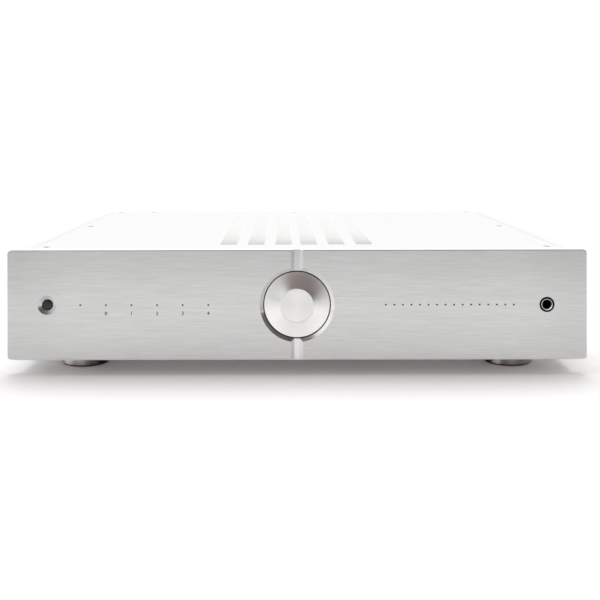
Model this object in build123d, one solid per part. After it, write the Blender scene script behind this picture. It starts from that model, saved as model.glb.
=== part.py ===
from build123d import *
import os
from math import cos, sin, tan, radians, sqrt

# Integrated stereo amplifier, full-width hi-fi component.
# Working frame, mm: +X to the right seen from the front, +Y from the front panel's
# face (y = 0) towards the rear panel, +Z up, table top at z = 0.  On export every
# piece is shifted along Y, so the origin is the centre of the footprint.

os.makedirs("parts", exist_ok=True)

# --- driving dimensions -----------------------------------------------------
PANEL_W = 445.0
PANEL_H = 84.5
PANEL_T = 10.0
PANEL_CORNER = 3.5       # the panel's four corners, seen from the front
PANEL_EDGE = 0.9         # rounding of the front face's rim
CLEAR = 11.5             # table top to the panel's lower edge
BODY_W = 431.0           # over the side panels
BODY_D = 370.0           # panel's face to the rear panel's outer face
COVER_W = 413.0          # top cover, between the side panels' top ribs
COVER_T = 3.0
COVER_DROP = 0.5         # cover surface below the panel's top edge
BASE_Z = 14.5            # underside of the chassis
BASE_T = 2.0
SIDE_T = 3.5
REAR_T = 2.5
SUB_T = 1.5              # inner front plate
LIP_T = 1.5              # folded lips of the inner front plate and rear panel
LIP_D = 12.0
LIP_HALF = 190.0
FIT = 0.2                # gap between sheet parts

KNOB_R = 25.3
KNOB_DISC_R = 12.6       # flat centre of the knob
KNOB_PROUD = 1.8         # flat centre in front of the panel's face
KNOB_RIM_Y = 1.9         # knob rim behind the panel's face
SIDE_ITEM_X = 191.5      # headphone socket (+) and infrared window (-)
POST_REACH = 26.0        # speaker studs beyond the rear panel
BANANA_R = 2.05          # bore of the 4 mm speaker sockets
POST_PITCH = 19.05       # pair spacing of the speaker terminals

# --- derived planes ---------------------------------------------------------
PANEL_TOP = CLEAR + PANEL_H
MID_Z = CLEAR + PANEL_H / 2
COVER_TOP = PANEL_TOP - COVER_DROP      # upper surface of cover and side panels
COVER_UNDER = COVER_TOP - COVER_T
FLOOR_Z = BASE_Z + BASE_T               # upper surface of the base plate
BODY_HALF = BODY_W / 2
COVER_HALF = COVER_W / 2
REAR_Y = BODY_D                         # rear panel, outer face
REAR_IN = BODY_D - REAR_T               # rear panel, inner face
SUB_BACK = PANEL_T + SUB_T              # inner front plate, rear face
Y_SHIFT = -(REAR_Y + POST_REACH - KNOB_PROUD) / 2

# (start, end) of cuts right through each plate
SUB_THROUGH = (PANEL_T - 1, SUB_BACK + 1)
REAR_THROUGH = (REAR_IN - 1, REAR_Y + 1)
BASE_THROUGH = (BASE_Z - 1, BASE_Z + 3)

# --- places on the panels ---------------------------------------------------
SIDES = (-1, 1)
KNOB_AXIS = Pos(0, 0, MID_Z)
WINDOW_AXIS = Pos(-SIDE_ITEM_X, 0, MID_Z)
JACK_AXIS = Pos(SIDE_ITEM_X, 0, MID_Z)

# speaker terminals, by channel and polarity
POST_X = {"right_plus": 8.0, "right_minus": 8.0 - POST_PITCH,
          "left_plus": -42.0, "left_minus": -42.0 - POST_PITCH}
POST_Z = 55.0
RCA_PLACES = [(x, z) for x in (122.0, 102.0, 82.0, 62.0) for z in (68.0, 42.0)]
XLR_X = {"right": 184.0, "left": 152.0}
XLR_Z = 55.0
XLR_SCREWS = ((-9.5, 12.0), (9.5, -12.0))       # (x, z) from the socket's centre
EARTH_X, EARTH_Z = 40.0, 42.0
SWITCH_X, SWITCH_Z = -112.0, 55.0
SWITCH_AXIS = Pos(SWITCH_X, 0, SWITCH_Z)
INLET_X, INLET_Z = -165.0, 55.0
INLET_AXIS = Pos(INLET_X, 0, INLET_Z)
INLET_SCREW_X = 20.0

LED_FIRST = 68.0         # the indicator rows run from here
LED_LAST = 166.0         # to here, on both sides of the knob
LED_R = 0.5
LED_ROW = LED_LAST - LED_FIRST
LED_X = ([-(LED_FIRST + i * LED_ROW / 5) for i in range(6)]
         + [LED_FIRST + i * LED_ROW / 15 for i in range(16)])

# --- screw places -----------------------------------------------------------
PANEL_SCREWS = [(x, z) for x in (-185.0, -95.0, 95.0, 185.0) for z in (CLEAR + 12, PANEL_TOP - 12)]
SIDE_SCREW_X = 206.0
SIDE_SCREW_Z = (BASE_Z + 9.3, COVER_TOP - 10.3)
SIDE_SCREWS = [(side * SIDE_SCREW_X, z) for side in SIDES for z in SIDE_SCREW_Z]
LEDGE_X = 198.0          # screw line along the side panels' ledges
COVER_SCREW_Y = (24.0, 193.0, 362.0)
REAR_LIP_SCREWS = [(x, 362.0) for x in (-160.0, 0.0, 160.0)]
COVER_SCREWS = [(side * LEDGE_X, y) for side in SIDES for y in COVER_SCREW_Y] + REAR_LIP_SCREWS
BASE_SCREW_Y = (60.0, 190.0, 320.0)
BASE_SIDE_SCREWS = [(side * LEDGE_X, y) for side in SIDES for y in BASE_SCREW_Y]
FRONT_LIP_SCREWS = [(x, SUB_BACK + LIP_D / 2) for x in (-150.0, -50.0, 50.0, 150.0)]
FEET = [(side * 171.0, y) for y in (45.0, 325.0) for side in SIDES]
TOROID_X, TOROID_Y = -132.0, 96.0
STANDOFFS = [(-186, 176), (-90, 176), (-186, 328), (-90, 328),
             (84, 112), (184, 112), (84, 300), (184, 300)]
# pillars of the indicator boards, (x, z)
LED_PILLARS = [(x, MID_Z + rise) for pair in ((-150.0, -70.0), (70.0, 160.0))
               for rise in (9.0, -9.0) for x in pair]


# --- helpers ----------------------------------------------------------------
def span(centre, half):
    return centre - half, centre + half


def box(x0, x1, y0, y1, z0, z1):
    centre = Pos((x0 + x1) / 2, (y0 + y1) / 2, (z0 + z1) / 2)
    return centre * Box(abs(x1 - x0), abs(y1 - y0), abs(z1 - z0))


def rod_x(y, z, r, x0, x1):
    return Pos((x0 + x1) / 2, y, z) * Rot(0, 90, 0) * Cylinder(r, abs(x1 - x0))


def rod_y(x, z, r, y0, y1):
    return Pos(x, (y0 + y1) / 2, z) * Rot(90, 0, 0) * Cylinder(r, abs(y1 - y0))


def rod_z(x, y, r, z0, z1):
    return Pos(x, y, (z0 + z1) / 2) * Cylinder(r, abs(z1 - z0))


def turn_y(points, x=0.0, z=0.0, base=0.0):
    """Revolve (radius, y from base) points about the line along Y through (x, z)."""
    return Pos(x, base, z) * revolve(Polygon(*points, align=None), Axis.Y, 360)


def turn_z(points, x=0.0, y=0.0, base=0.0):
    """Revolve (radius, z from base) points about the vertical through (x, y)."""
    face = Plane.XZ * Polygon(*points, align=None)
    return Pos(x, y, base) * revolve(face, Axis.Z, 360)


def prism_x(points, x0, x1):
    """Extrude (y, z) points along X."""
    return extrude(Plane.YZ.offset(x0) * Polygon(*points, align=None), x1 - x0, dir=(1, 0, 0))


def prism_y(points, y0, y1):
    """Extrude (x, z) points along Y."""
    return extrude(Plane.XZ.offset(-y0) * Polygon(*points, align=None), y1 - y0, dir=(0, 1, 0))


def prism_z(points, z0, z1):
    """Extrude (x, y) points along Z."""
    return extrude(Plane.XY.offset(z0) * Polygon(*points, align=None), z1 - z0, dir=(0, 0, 1))


def hexagon(flats):
    r = flats / sqrt(3)
    return [(r * cos(radians(60 * i)), r * sin(radians(60 * i))) for i in range(6)]


def hex_y(x, z, flats, y0, y1):
    return Pos(x, 0, z) * prism_y(hexagon(flats), y0, y1)


def hex_z(x, y, flats, z0, z1):
    return Pos(x, y, 0) * prism_z(hexagon(flats), z0, z1)


def nut_y(x, z, flats, hole_r, y0, y1):
    return hex_y(x, z, flats, y0, y1) - rod_y(x, z, hole_r, y0 - 1, y1 + 1)


def countersink(hole_r, head_r, start, neck, rim, end):
    """Profile of a countersunk hole; the last four are places along its axis."""
    return [(0, start), (hole_r, start), (hole_r, neck), (head_r, rim), (head_r, end), (0, end)]


def button_profile(radius, height, shank, length, out):
    """Button-head screw with its seat at 0 and its head towards out (+1 or -1)."""
    return [(0, out * height), (radius * 0.62, out * height), (radius * 0.9, out * height * 0.7),
            (radius, out * 0.15), (radius, 0), (shank, 0), (shank, -out * length),
            (0, -out * length)]


def button_y(x, z, seat, out=1, shank=1.6, length=9.0):
    height = 2.0
    screw = turn_y(button_profile(3.7, height, shank, length, out), x, z, seat)
    socket = sorted((seat + out * (height - 1.3), seat + out * (height + 1)))
    return screw - hex_y(x, z, 2.5, *socket)


def button_under(x, y, length=5.0):
    """Button-head screw driven up through the base plate."""
    height = 1.9
    screw = turn_z(button_profile(3.6, height, 1.6, length, -1), x, y, BASE_Z)
    return screw - hex_z(x, y, 2.5, BASE_Z - height - 1, BASE_Z - height + 1.3)


def out(name, *shapes, at=Pos(0, 0, 0)):
    """Export the solids of one piece, placed by at."""
    solids = [solid for shape in shapes for solid in shape.solids()]
    group = Compound(children=[Pos(0, Y_SHIFT, 0) * at * solid for solid in solids])
    export_step(group, f"parts/{name}.step")


# --- front panel ------------------------------------------------------------
RECESS_R = 28.6          # mouth of the conical recess round the knob
RECESS_BORE_R = 26.05
RECESS_DEPTH = 1.5       # depth of the sloping ring and of the groove
POCKET_DEPTH = 7.6
SHAFT_HOLE_R = 11.0
GROOVE_TOP = 9.2         # vertical groove: width at the face
GROOVE_FLOOR = 4.1       # and at its floor


def front_panel():
    panel = box(*span(0, PANEL_W / 2), 0, PANEL_T, CLEAR, PANEL_TOP)
    panel = fillet(panel.edges().filter_by(Axis.Y), PANEL_CORNER)
    panel = fillet(panel.faces().sort_by(Axis.Y)[0].edges(), PANEL_EDGE)
    # both sloping cuts are carried on to 1 mm in front of the face
    mouth, floor = GROOVE_TOP / 2, GROOVE_FLOOR / 2
    wide = mouth + (mouth - floor) / RECESS_DEPTH
    panel -= prism_z([(-wide, -1), (wide, -1), (floor, RECESS_DEPTH), (-floor, RECESS_DEPTH)],
                     CLEAR - 1, PANEL_TOP + 1)
    back = PANEL_T + 1
    cone = (RECESS_R - RECESS_BORE_R) / RECESS_DEPTH
    panel -= turn_y([(0, -1), (RECESS_R + cone, -1), (RECESS_BORE_R, RECESS_DEPTH),
                     (RECESS_BORE_R, POCKET_DEPTH), (SHAFT_HOLE_R, POCKET_DEPTH),
                     (SHAFT_HOLE_R, back), (0, back)], 0, MID_Z)
    panel -= turn_y([(0, -1), (9.05, -1), (4.3, 1.75), (4.3, 5.4), (5.7, 5.4), (5.7, back),
                     (0, back)], -SIDE_ITEM_X, MID_Z)
    panel -= turn_y([(0, -1), (6.9, -1), (5.7, 0.2), (5.7, back), (0, back)], SIDE_ITEM_X, MID_Z)
    led_hole = [(0, -1), (LED_R, -1), (LED_R, 3.0), (2.1, 3.0), (2.1, back), (0, back)]
    panel -= [turn_y(led_hole, x, MID_Z) for x in LED_X]
    panel -= [rod_y(x, z, 2.0, PANEL_T - 6, back) for x, z in PANEL_SCREWS]
    panel -= [rod_y(x, z, 4.4, PANEL_T - 3.2, back) for x, z in SIDE_SCREWS]
    return panel


out("front_panel", front_panel())


# --- inner front plate: carries the boards and the cover's front edge -------
def inner_front_plate():
    plate = box(-BODY_HALF, BODY_HALF, PANEL_T, SUB_BACK, BASE_Z, COVER_TOP)
    plate -= box(*span(0, COVER_HALF + FIT), *SUB_THROUGH, COVER_UNDER, COVER_TOP + 1)
    for lip_z in (COVER_UNDER - LIP_T, FLOOR_Z):
        plate += box(-LIP_HALF, LIP_HALF, SUB_BACK, SUB_BACK + LIP_D, lip_z, lip_z + LIP_T)
    plate -= rod_y(0, MID_Z, SHAFT_HOLE_R, *SUB_THROUGH)
    plate -= [rod_y(-SIDE_ITEM_X, MID_Z, 6.2, *SUB_THROUGH),
              rod_y(SIDE_ITEM_X, MID_Z, 5.8, *SUB_THROUGH)]
    plate -= [box(side * 62, side * 172, *SUB_THROUGH, *span(MID_Z, 3)) for side in SIDES]
    plate -= [rod_y(x, z, 2.2, *SUB_THROUGH) for x, z in PANEL_SCREWS + SIDE_SCREWS]
    plate -= [rod_z(x, y, 2.2, BASE_Z, BASE_Z + 5) for x, y in FRONT_LIP_SCREWS]
    return plate


out("inner_front_plate", inner_front_plate())


# --- side panels: extrusions with a top rib, ledges and screw ports ---------
def side_panel(side):
    inner = BODY_HALF - SIDE_T
    section = [       # (distance from the centre plane, z)
        (BODY_HALF, BASE_Z), (BODY_HALF, COVER_TOP), (COVER_HALF + FIT, COVER_TOP),
        (COVER_HALF + FIT, COVER_UNDER), (192, COVER_UNDER), (192, COVER_UNDER - 3),
        (200, COVER_UNDER - 3), (200, COVER_UNDER - 11.5), (inner, COVER_UNDER - 14),
        (inner, BASE_Z + 16), (200, BASE_Z + 13.5), (200, BASE_Z + 5), (192, BASE_Z + 5),
        (192, FLOOR_Z), (inner, FLOOR_Z), (inner, BASE_Z)]
    panel = prism_y([(side * x, z) for x, z in section], SUB_BACK, REAR_IN)
    panel -= [rod_y(side * SIDE_SCREW_X, z, 1.7, SUB_BACK - 1, REAR_IN + 1) for z in SIDE_SCREW_Z]
    panel -= [rod_z(side * LEDGE_X, y, 1.25, COVER_UNDER - 4, COVER_UNDER + 1)
              for y in COVER_SCREW_Y]
    panel -= [rod_z(side * LEDGE_X, y, 1.7, BASE_Z, BASE_Z + 6) for y in BASE_SCREW_Y]
    outer = [edge for edge in panel.edges().filter_by(Axis.Y)
             if abs(abs(edge.center().X) - BODY_HALF) < 0.01]
    return fillet(outer, 0.8)


out("side_panel_left", side_panel(-1))
out("side_panel_right", side_panel(1))

# --- top cover: sheet with six columns of cooling slots ---------------------
SLOT_W, SLOT_L, SLOT_PITCH = 13.8, 4.0, 8.0
SLOT_COLUMNS = (-55.0, -32.5, -10.2, 10.2, 32.5, 55.0)
SLOT_FIRST_Y = 42.6


def top_cover():
    cover = box(-COVER_HALF, COVER_HALF, PANEL_T + 0.1, REAR_Y, COVER_UNDER, COVER_TOP)
    cover = fillet(cover.edges().filter_by(Axis.Z).sort_by(Axis.Y)[-2:], 1.0)
    slot = extrude(Plane.XY.offset(COVER_UNDER - 1) * RectangleRounded(SLOT_W, SLOT_L, 0.8),
                   COVER_T + 2)
    cover -= [Pos(x, SLOT_FIRST_Y + i * SLOT_PITCH, 0) * slot
              for x in SLOT_COLUMNS for i in range(32)]
    hole = countersink(1.7, 3.3, start=-COVER_T - 1, neck=-1.9, rim=-0.3, end=1)
    cover -= [turn_z(hole, x, y, COVER_TOP) for x, y in COVER_SCREWS]
    return cover


def cover_screw(x, y):
    profile = countersink(1.2, 3.15, start=-7.0, neck=-2.0, rim=-0.32, end=-0.12)
    return turn_z(profile, x, y, COVER_TOP) - hex_z(x, y, 2.0, COVER_TOP - 1.4, COVER_TOP + 1)


out("top_cover", top_cover())
out("cover_screws", *[cover_screw(x, y) for x, y in COVER_SCREWS])


# --- rear panel -------------------------------------------------------------
def rear_panel():
    def holes(places, r):
        return [rod_y(x, z, r, *REAR_THROUGH) for x, z in places]

    xlr_x = XLR_X.values()
    panel = box(-BODY_HALF, BODY_HALF, REAR_IN, REAR_Y, BASE_Z, COVER_TOP)
    panel -= box(*span(0, COVER_HALF + FIT), *REAR_THROUGH, COVER_UNDER, COVER_TOP + 1)
    panel += box(-LIP_HALF, LIP_HALF, REAR_IN - LIP_D, REAR_IN, COVER_UNDER - LIP_T, COVER_UNDER)
    panel -= [rod_z(x, y, 1.25, COVER_UNDER - 3, COVER_UNDER + 1) for x, y in REAR_LIP_SCREWS]
    panel -= holes([(x, POST_Z) for x in POST_X.values()], 5.2)
    panel -= holes(RCA_PLACES, 4.9)
    panel -= holes([(x, XLR_Z) for x in xlr_x], 12.1)
    panel -= holes([(x + dx, XLR_Z + dz) for x in xlr_x for dx, dz in XLR_SCREWS], 1.6)
    panel -= [box(*span(x, 3.6), *REAR_THROUGH, XLR_Z + 8, XLR_Z + 14.4) for x in xlr_x]
    panel -= rod_y(EARTH_X, EARTH_Z, 2.2, *REAR_THROUGH)
    panel -= box(*span(SWITCH_X, 9.6), *REAR_THROUGH, *span(SWITCH_Z, 13.6))
    panel -= box(*span(INLET_X, 14.2), *REAR_THROUGH, *span(INLET_Z, 15.8))
    panel -= holes([(x, INLET_Z) for x in span(INLET_X, INLET_SCREW_X)], 1.7)
    panel -= holes(SIDE_SCREWS, 2.2)
    # row of upright slots
    panel -= [box(*span(-64 + 6 * i, 0.9), *REAR_THROUGH, 72, 86) for i in range(14)]
    return panel


out("rear_panel", rear_panel())


# --- base plate -------------------------------------------------------------
def base_plate():
    plate = box(*span(0, BODY_HALF - SIDE_T - FIT), SUB_BACK + FIT, REAR_IN - FIT,
                BASE_Z, FLOOR_Z)
    slot_length, slot_pitch, slot_first = 3.5, 11.5, 56
    plate -= [box(*span(x, 9.5), y, y + slot_length, *BASE_THROUGH)
              for x in (-43.5, -18.5, 18.5, 43.5)
              for y in [slot_first + slot_pitch * i for i in range(20)]]
    for places, r in ((BASE_SIDE_SCREWS + FRONT_LIP_SCREWS, 2.2), (FEET, 2.6),
                      ([(TOROID_X, TOROID_Y)], 3.1), (STANDOFFS, 1.7)):
        plate -= [rod_z(x, y, r, *BASE_THROUGH) for x, y in places]
    return plate


out("base_plate", base_plate())

# --- feet: (radius, z) profiles ---------------------------------------------
FOOT_BODY = [(2.7, 5.0), (2.7, BASE_Z), (19.2, BASE_Z), (20, BASE_Z - 0.8), (20, 2.5),
             (19.0, 1.2), (18.3, 1.2), (18.3, 2.6), (7.2, 2.6), (6.4, 3.0), (6.4, 5.0)]
FOOT_PAD = [(7.4, 0.3), (7.7, 0), (17.6, 0), (18.2, 0.6), (18.2, 2.6), (7.4, 2.6)]
FOOT_SCREW = [(0, 1.8), (4.6, 1.8), (4.8, 2.1), (4.8, 5.0), (2.5, 5.0), (2.5, BASE_Z + 4.5),
              (0, BASE_Z + 4.5)]

out("foot_bodies", *[turn_z(FOOT_BODY, x, y) for x, y in FEET])
out("foot_pads", *[turn_z(FOOT_PAD, x, y) for x, y in FEET])


# --- screws of the casing, the feet and the encoder's nut and washer --------
def chassis_fasteners():
    pieces = [button_under(x, y) for x, y in BASE_SIDE_SCREWS]
    pieces += [button_under(x, y, length=4.5) for x, y in FRONT_LIP_SCREWS]
    pieces += [button_y(x, z, REAR_Y) for x, z in SIDE_SCREWS]
    pieces += [button_y(x, z, PANEL_T, out=-1) for x, z in SIDE_SCREWS]
    pieces += [button_y(x, z, SUB_BACK, shank=1.9, length=7.0) for x, z in PANEL_SCREWS]
    pieces += [turn_z(FOOT_SCREW, x, y) - hex_z(x, y, 4.0, 0, 3.9) for x, y in FEET]
    pieces.append(nut_y(0, MID_Z, 11.0, 4.45, 16.0, 17.9))
    pieces.append(rod_y(0, MID_Z, 6.4, 17.95, 18.5) - rod_y(0, MID_Z, 4.45, 17, 19))
    return pieces


out("chassis_fasteners", *chassis_fasteners())

# --- volume knob: dished face with a flat centre ----------------------------
SHAFT_R = 3.0
D_FLAT = 1.5             # height of the shaft's flat above its axis


def volume_knob():
    rim = (KNOB_R - 0.35, KNOB_RIM_Y)
    disc_edge = (KNOB_DISC_R + 0.42, -KNOB_PROUD + 0.42)
    cove = Spline(rim, (19.0, 0.42), disc_edge, tangents=((-1, -0.20), (-1, -0.37)))
    rest = Polyline(
        disc_edge, (KNOB_DISC_R + 0.05, -KNOB_PROUD + 0.04), (KNOB_DISC_R - 0.1, -KNOB_PROUD),
        (0, -KNOB_PROUD), (0, 1.6), (4.5, 1.6), (4.5, 13.8), (8.0, 13.8), (8.0, 3.4), (9.0, 3.0),
        (21.0, 4.2), (22.0, 6.6), (KNOB_R - 0.3, 6.6), (KNOB_R, 6.3), (KNOB_R, KNOB_RIM_Y + 0.35),
        rim)
    return revolve(make_face([cove] + list(rest.edges())), Axis.Y, 360)


def knob_insert():
    """Insert in the knob's hub, with a D-shaped bore."""
    bore = rod_y(0, 0, SHAFT_R + 0.02, 1.9, 15) - box(-5, 5, 1, 16, D_FLAT + 0.02, 6)
    return rod_y(0, 0, 4.48, 1.65, 13.8) - bore


out("volume_knob", volume_knob(), at=KNOB_AXIS)
out("knob_insert", knob_insert(), at=KNOB_AXIS)

# --- rotary encoder with push switch ----------------------------------------
SHAFT_BORE_R = SHAFT_R + 0.04


def encoder_shaft():
    shaft = rod_y(0, 0, SHAFT_R, 2.2, 28.2)
    shaft -= box(-5, 5, 1, 14.0, D_FLAT, 6)
    return shaft + rod_y(0, 0, 4.0, 27.2, 28.2)


def encoder_rotor():
    return turn_y([(SHAFT_BORE_R, 22.0), (5.6, 22.0), (5.6, 23.0), (7.2, 23.0), (7.2, 24.4),
                   (4.2, 24.4), (4.2, 25.2), (SHAFT_BORE_R, 25.2)])


def encoder_body():
    body = box(-8, 8, 20.0, 31.0, -8, 8)
    body += rod_y(0, 0, 4.4, 14.4, 20.0)
    body -= rod_y(0, 0, SHAFT_BORE_R, 14, 22)
    body -= rod_y(0, 0, 7.35, 21.5, 26.0)
    body -= rod_y(0, 0, 4.4, 25.9, 29.4)
    body += [box(*span(x, 0.4), 31.0, 34.0, -7, -6.2) for x in (-5, -2.5, 0, 2.5, 5)]
    return body


def encoder_bracket():
    back = SUB_BACK + 1.5
    outline = [      # (x, y)
        (-34, SUB_BACK), (-20, SUB_BACK), (-18.5, 18.5), (18.5, 18.5), (20, SUB_BACK),
        (34, SUB_BACK), (34, back), (21.3, back), (19.9, 20.0), (-19.9, 20.0),
        (-21.3, back), (-34, back)]
    bracket = prism_z(outline, -14, 14)
    bracket -= rod_y(0, 0, 4.55, 17, 21)
    bracket -= [rod_y(x, z, 1.6, SUB_BACK - 1, SUB_BACK + 3) for x in (-28, 28) for z in (-8, 8)]
    return bracket


out("encoder_shaft", encoder_shaft(), at=KNOB_AXIS)
out("encoder_rotor", encoder_rotor(), at=KNOB_AXIS)
out("encoder_body", encoder_body(), at=KNOB_AXIS)
out("encoder_bracket", encoder_bracket(), at=KNOB_AXIS)

# --- infrared window and receiver -------------------------------------------
WINDOW = [(0, 1.7), (2.2, 1.78), (3.7, 2.0), (4.25, 2.4), (4.25, 5.45), (5.6, 5.45),
          (5.6, 7.2), (0, 7.2)]      # (radius, y)


def infrared_receiver():
    dome = Pos(0, 9.4, 0) * Sphere(2.0) & box(-3, 3, 7.3, 9.5, -3, 3)
    receiver = box(-3.2, 3.2, 9.4, 13.4, -4.6, 3.6) + dome
    receiver += [box(*span(x, 0.25), 13.4, 14.0, -4.4, -3.9) for x in (-2.5, 0, 2.5)]
    return receiver


out("infrared_window", turn_y(WINDOW), at=WINDOW_AXIS)
out("infrared_receiver", infrared_receiver(), at=WINDOW_AXIS)

# --- indicators -------------------------------------------------------------
LED_BOARD_Y = (14.0, 15.6)
LED_BODY = [(0, 4.0), (0.8, 4.1), (1.3, 4.6), (1.5, 5.4), (1.5, 8.4), (1.9, 8.4),
            (1.9, 9.4), (0, 9.4)]    # (radius, y)


def indicator_led(x):
    legs = [box(*span(leg, 0.25), 9.4, LED_BOARD_Y[0], *span(MID_Z, 0.25))
            for leg in span(x, 1.0)]
    return turn_y(LED_BODY, x, MID_Z) + legs


def indicator_board(x0, x1):
    holes = [rod_y(x, z, 1.6, 13, 17) for x, z in LED_PILLARS]
    return box(x0, x1, *LED_BOARD_Y, *span(MID_Z, 13)) - holes


out("indicator_leds", *[indicator_led(x) for x in LED_X])
out("indicator_boards", indicator_board(-197, -58), indicator_board(58, 176))

# --- headphone socket -------------------------------------------------------
JACK_R = 3.25            # bore of the 6.35 mm headphone socket
JACK_CONTACTS = ((-1, 16), (1, 23), (-1, 29))   # (side, y of the contact's front end)
FERRULE = [(4.30, -0.10), (4.45, 0.05), (4.45, 11.0), (JACK_R, 11.0), (JACK_R, 0.80),
           (3.42, 0.30), (3.85, -0.10)]         # (radius, y)
CONTACT = [(5.7, 0.3), (6.0, 0.3), (6.0, 2.0), (4.2, 3.6), (6.0, 5.2), (6.0, 5.7), (5.7, 5.7),
           (5.7, 5.1), (3.7, 3.6), (5.7, 2.0)]  # (x outwards, y from the front end)


def jack_body():
    body = box(-10.5, 10.5, SUB_BACK, 42, -10.5, 10.5)
    body = fillet(body.edges().filter_by(Axis.Y), 1.0)
    body += rod_y(0, 0, 5.62, 0.35, SUB_BACK + 0.2)
    body -= rod_y(0, 0, 4.47, -1, 11.0)
    body -= rod_y(0, 0, JACK_R, 10, 36)
    body -= [box(side * 3.0, side * 6.2, y, y + 6, -1.6, 1.6) for side, y in JACK_CONTACTS]
    return body


def jack_contact(side, front):
    return prism_z([(side * x, front + y) for x, y in CONTACT], -1.2, 1.2)


out("headphone_ferrule", turn_y(FERRULE), at=JACK_AXIS)
out("headphone_socket", jack_body(), *[jack_contact(*place) for place in JACK_CONTACTS],
    at=JACK_AXIS)

# --- mains inlet with fuse drawer, about the inlet's centre -----------------
PLUG_Z = 5.0             # centre of the plug recess
DRAWER_Z = -10.2         # centre of the fuse drawer
BLADE_X = (-7.0, 0.0, 7.0)
INLET_FLANGE = [(-24, -6), (-15.5, -17.5), (15.5, -17.5), (24, -6), (24, 6), (15.5, 17.5),
                (-15.5, 17.5), (-24, 6)]                        # (x, z)
PLUG_RECESS = [(-12.3, -8.4), (12.3, -8.4), (12.3, 3.6), (8.0, 8.2), (-8.0, 8.2),
               (-12.3, 3.6)]                                    # (x, z from PLUG_Z)


def inlet_body():
    body = prism_y(INLET_FLANGE, REAR_Y, REAR_Y + 3.0)
    body = fillet(body.edges().filter_by(Axis.Y), 2.0)
    body += box(-14, 14, 342, REAR_Y + 0.5, -15.6, 15.6)
    body -= prism_y([(x, PLUG_Z + z) for x, z in PLUG_RECESS], REAR_Y + 3.0 - 17.5, REAR_Y + 4)
    # block standing in the recess, with a hole for each blade
    body += box(-9.5, 9.5, 345, REAR_Y + 1.4, PLUG_Z - 4.2, PLUG_Z + 3.0)
    body -= [box(*span(x, 1.1), 354, REAR_Y + 4, *span(PLUG_Z, 2.1)) for x in BLADE_X]
    body -= box(-11.2, 11.2, 344, REAR_Y + 4, *span(DRAWER_Z, 4.7))
    hole = countersink(1.7, 3.2, start=-1, neck=1.4, rim=2.9, end=4)
    body -= [turn_y(hole, side * INLET_SCREW_X, 0, REAR_Y) for side in SIDES]
    return body


def inlet_blade(x):
    return box(*span(x, 1.0), 354.1, REAR_Y + 1.0, *span(PLUG_Z, 2.0))


def fuse_drawer():
    drawer = box(-11.0, 11.0, 346, REAR_Y + 3.0, *span(DRAWER_Z, 4.5))
    drawer += box(-11.0, 11.0, REAR_Y + 2.9, REAR_Y + 3.9, *span(DRAWER_Z, 4.5))
    drawer -= box(-8, 8, REAR_Y + 3.3, REAR_Y + 4.5, DRAWER_Z - 4.6, DRAWER_Z - 2.6)
    drawer -= box(-9.6, 9.6, 348, REAR_Y - 1, DRAWER_Z - 3.0, DRAWER_Z + 5)
    return drawer


out("mains_inlet", inlet_body(), *[inlet_blade(x) for x in BLADE_X], at=INLET_AXIS)
out("fuse_drawer", fuse_drawer(), at=INLET_AXIS)
out("mains_fuse", rod_x(357.5, DRAWER_Z, 2.5, -9.0, 9.0), at=INLET_AXIS)

# --- power switch, about the switch's centre --------------------------------
PIVOT_Y = REAR_Y - 3.5
ROCKER_R = 11.0
ROCKER_GAP = 0.35
SWITCH_TILT = 12.0       # rocker tilt each side of level
VALLEY = 4.4             # pivot to the middle of the rocker's face


def switch_frame():
    frame = box(-11, 11, REAR_Y, REAR_Y + 2.0, -15, 15)
    frame = fillet(frame.edges().filter_by(Axis.Y), 1.5)
    frame = chamfer(frame.faces().sort_by(Axis.Y)[-1].edges(), 0.5)
    frame += box(-9.4, 9.4, 346, REAR_Y + 0.2, -13.4, 13.4)
    well_r = ROCKER_R + ROCKER_GAP
    frame -= rod_x(PIVOT_Y, 0, well_r, -7.3, 7.3)
    frame -= box(-7.3, 7.3, PIVOT_Y, REAR_Y + 3, -well_r, well_r)
    frame -= rod_x(PIVOT_Y, 0, 1.55, -9.0, 9.0)
    frame -= box(-1.5, 1.5, PIVOT_Y - 16, PIVOT_Y, -4, 4)
    return frame


def power_rocker():
    rise = PIVOT_Y + VALLEY + 14 * tan(radians(SWITCH_TILT))
    rocker = rod_x(PIVOT_Y, 0, ROCKER_R, -7.0, 7.0)
    rocker -= prism_x([(PIVOT_Y + VALLEY, 0), (rise, 14), (PIVOT_Y + 30, 14),
                       (PIVOT_Y + 30, -14), (rise, -14)], -8, 8)
    rocker -= box(-8, 8, PIVOT_Y - 20, PIVOT_Y - 2.5, -20, 20)
    rocker += rod_x(PIVOT_Y, 0, 1.5, -8.7, 8.7)
    rocker += box(-1.0, 1.0, PIVOT_Y - 7.0, PIVOT_Y - 2.0, -1.5, 1.5)
    # at rest the rocker is pressed in at its lower half (off)
    return Pos(0, PIVOT_Y, 0) * Rot(-SWITCH_TILT, 0, 0) * Pos(0, -PIVOT_Y, 0) * rocker


out("power_switch_frame", switch_frame(), at=SWITCH_AXIS)
out("power_rocker", power_rocker(), at=SWITCH_AXIS)


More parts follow.
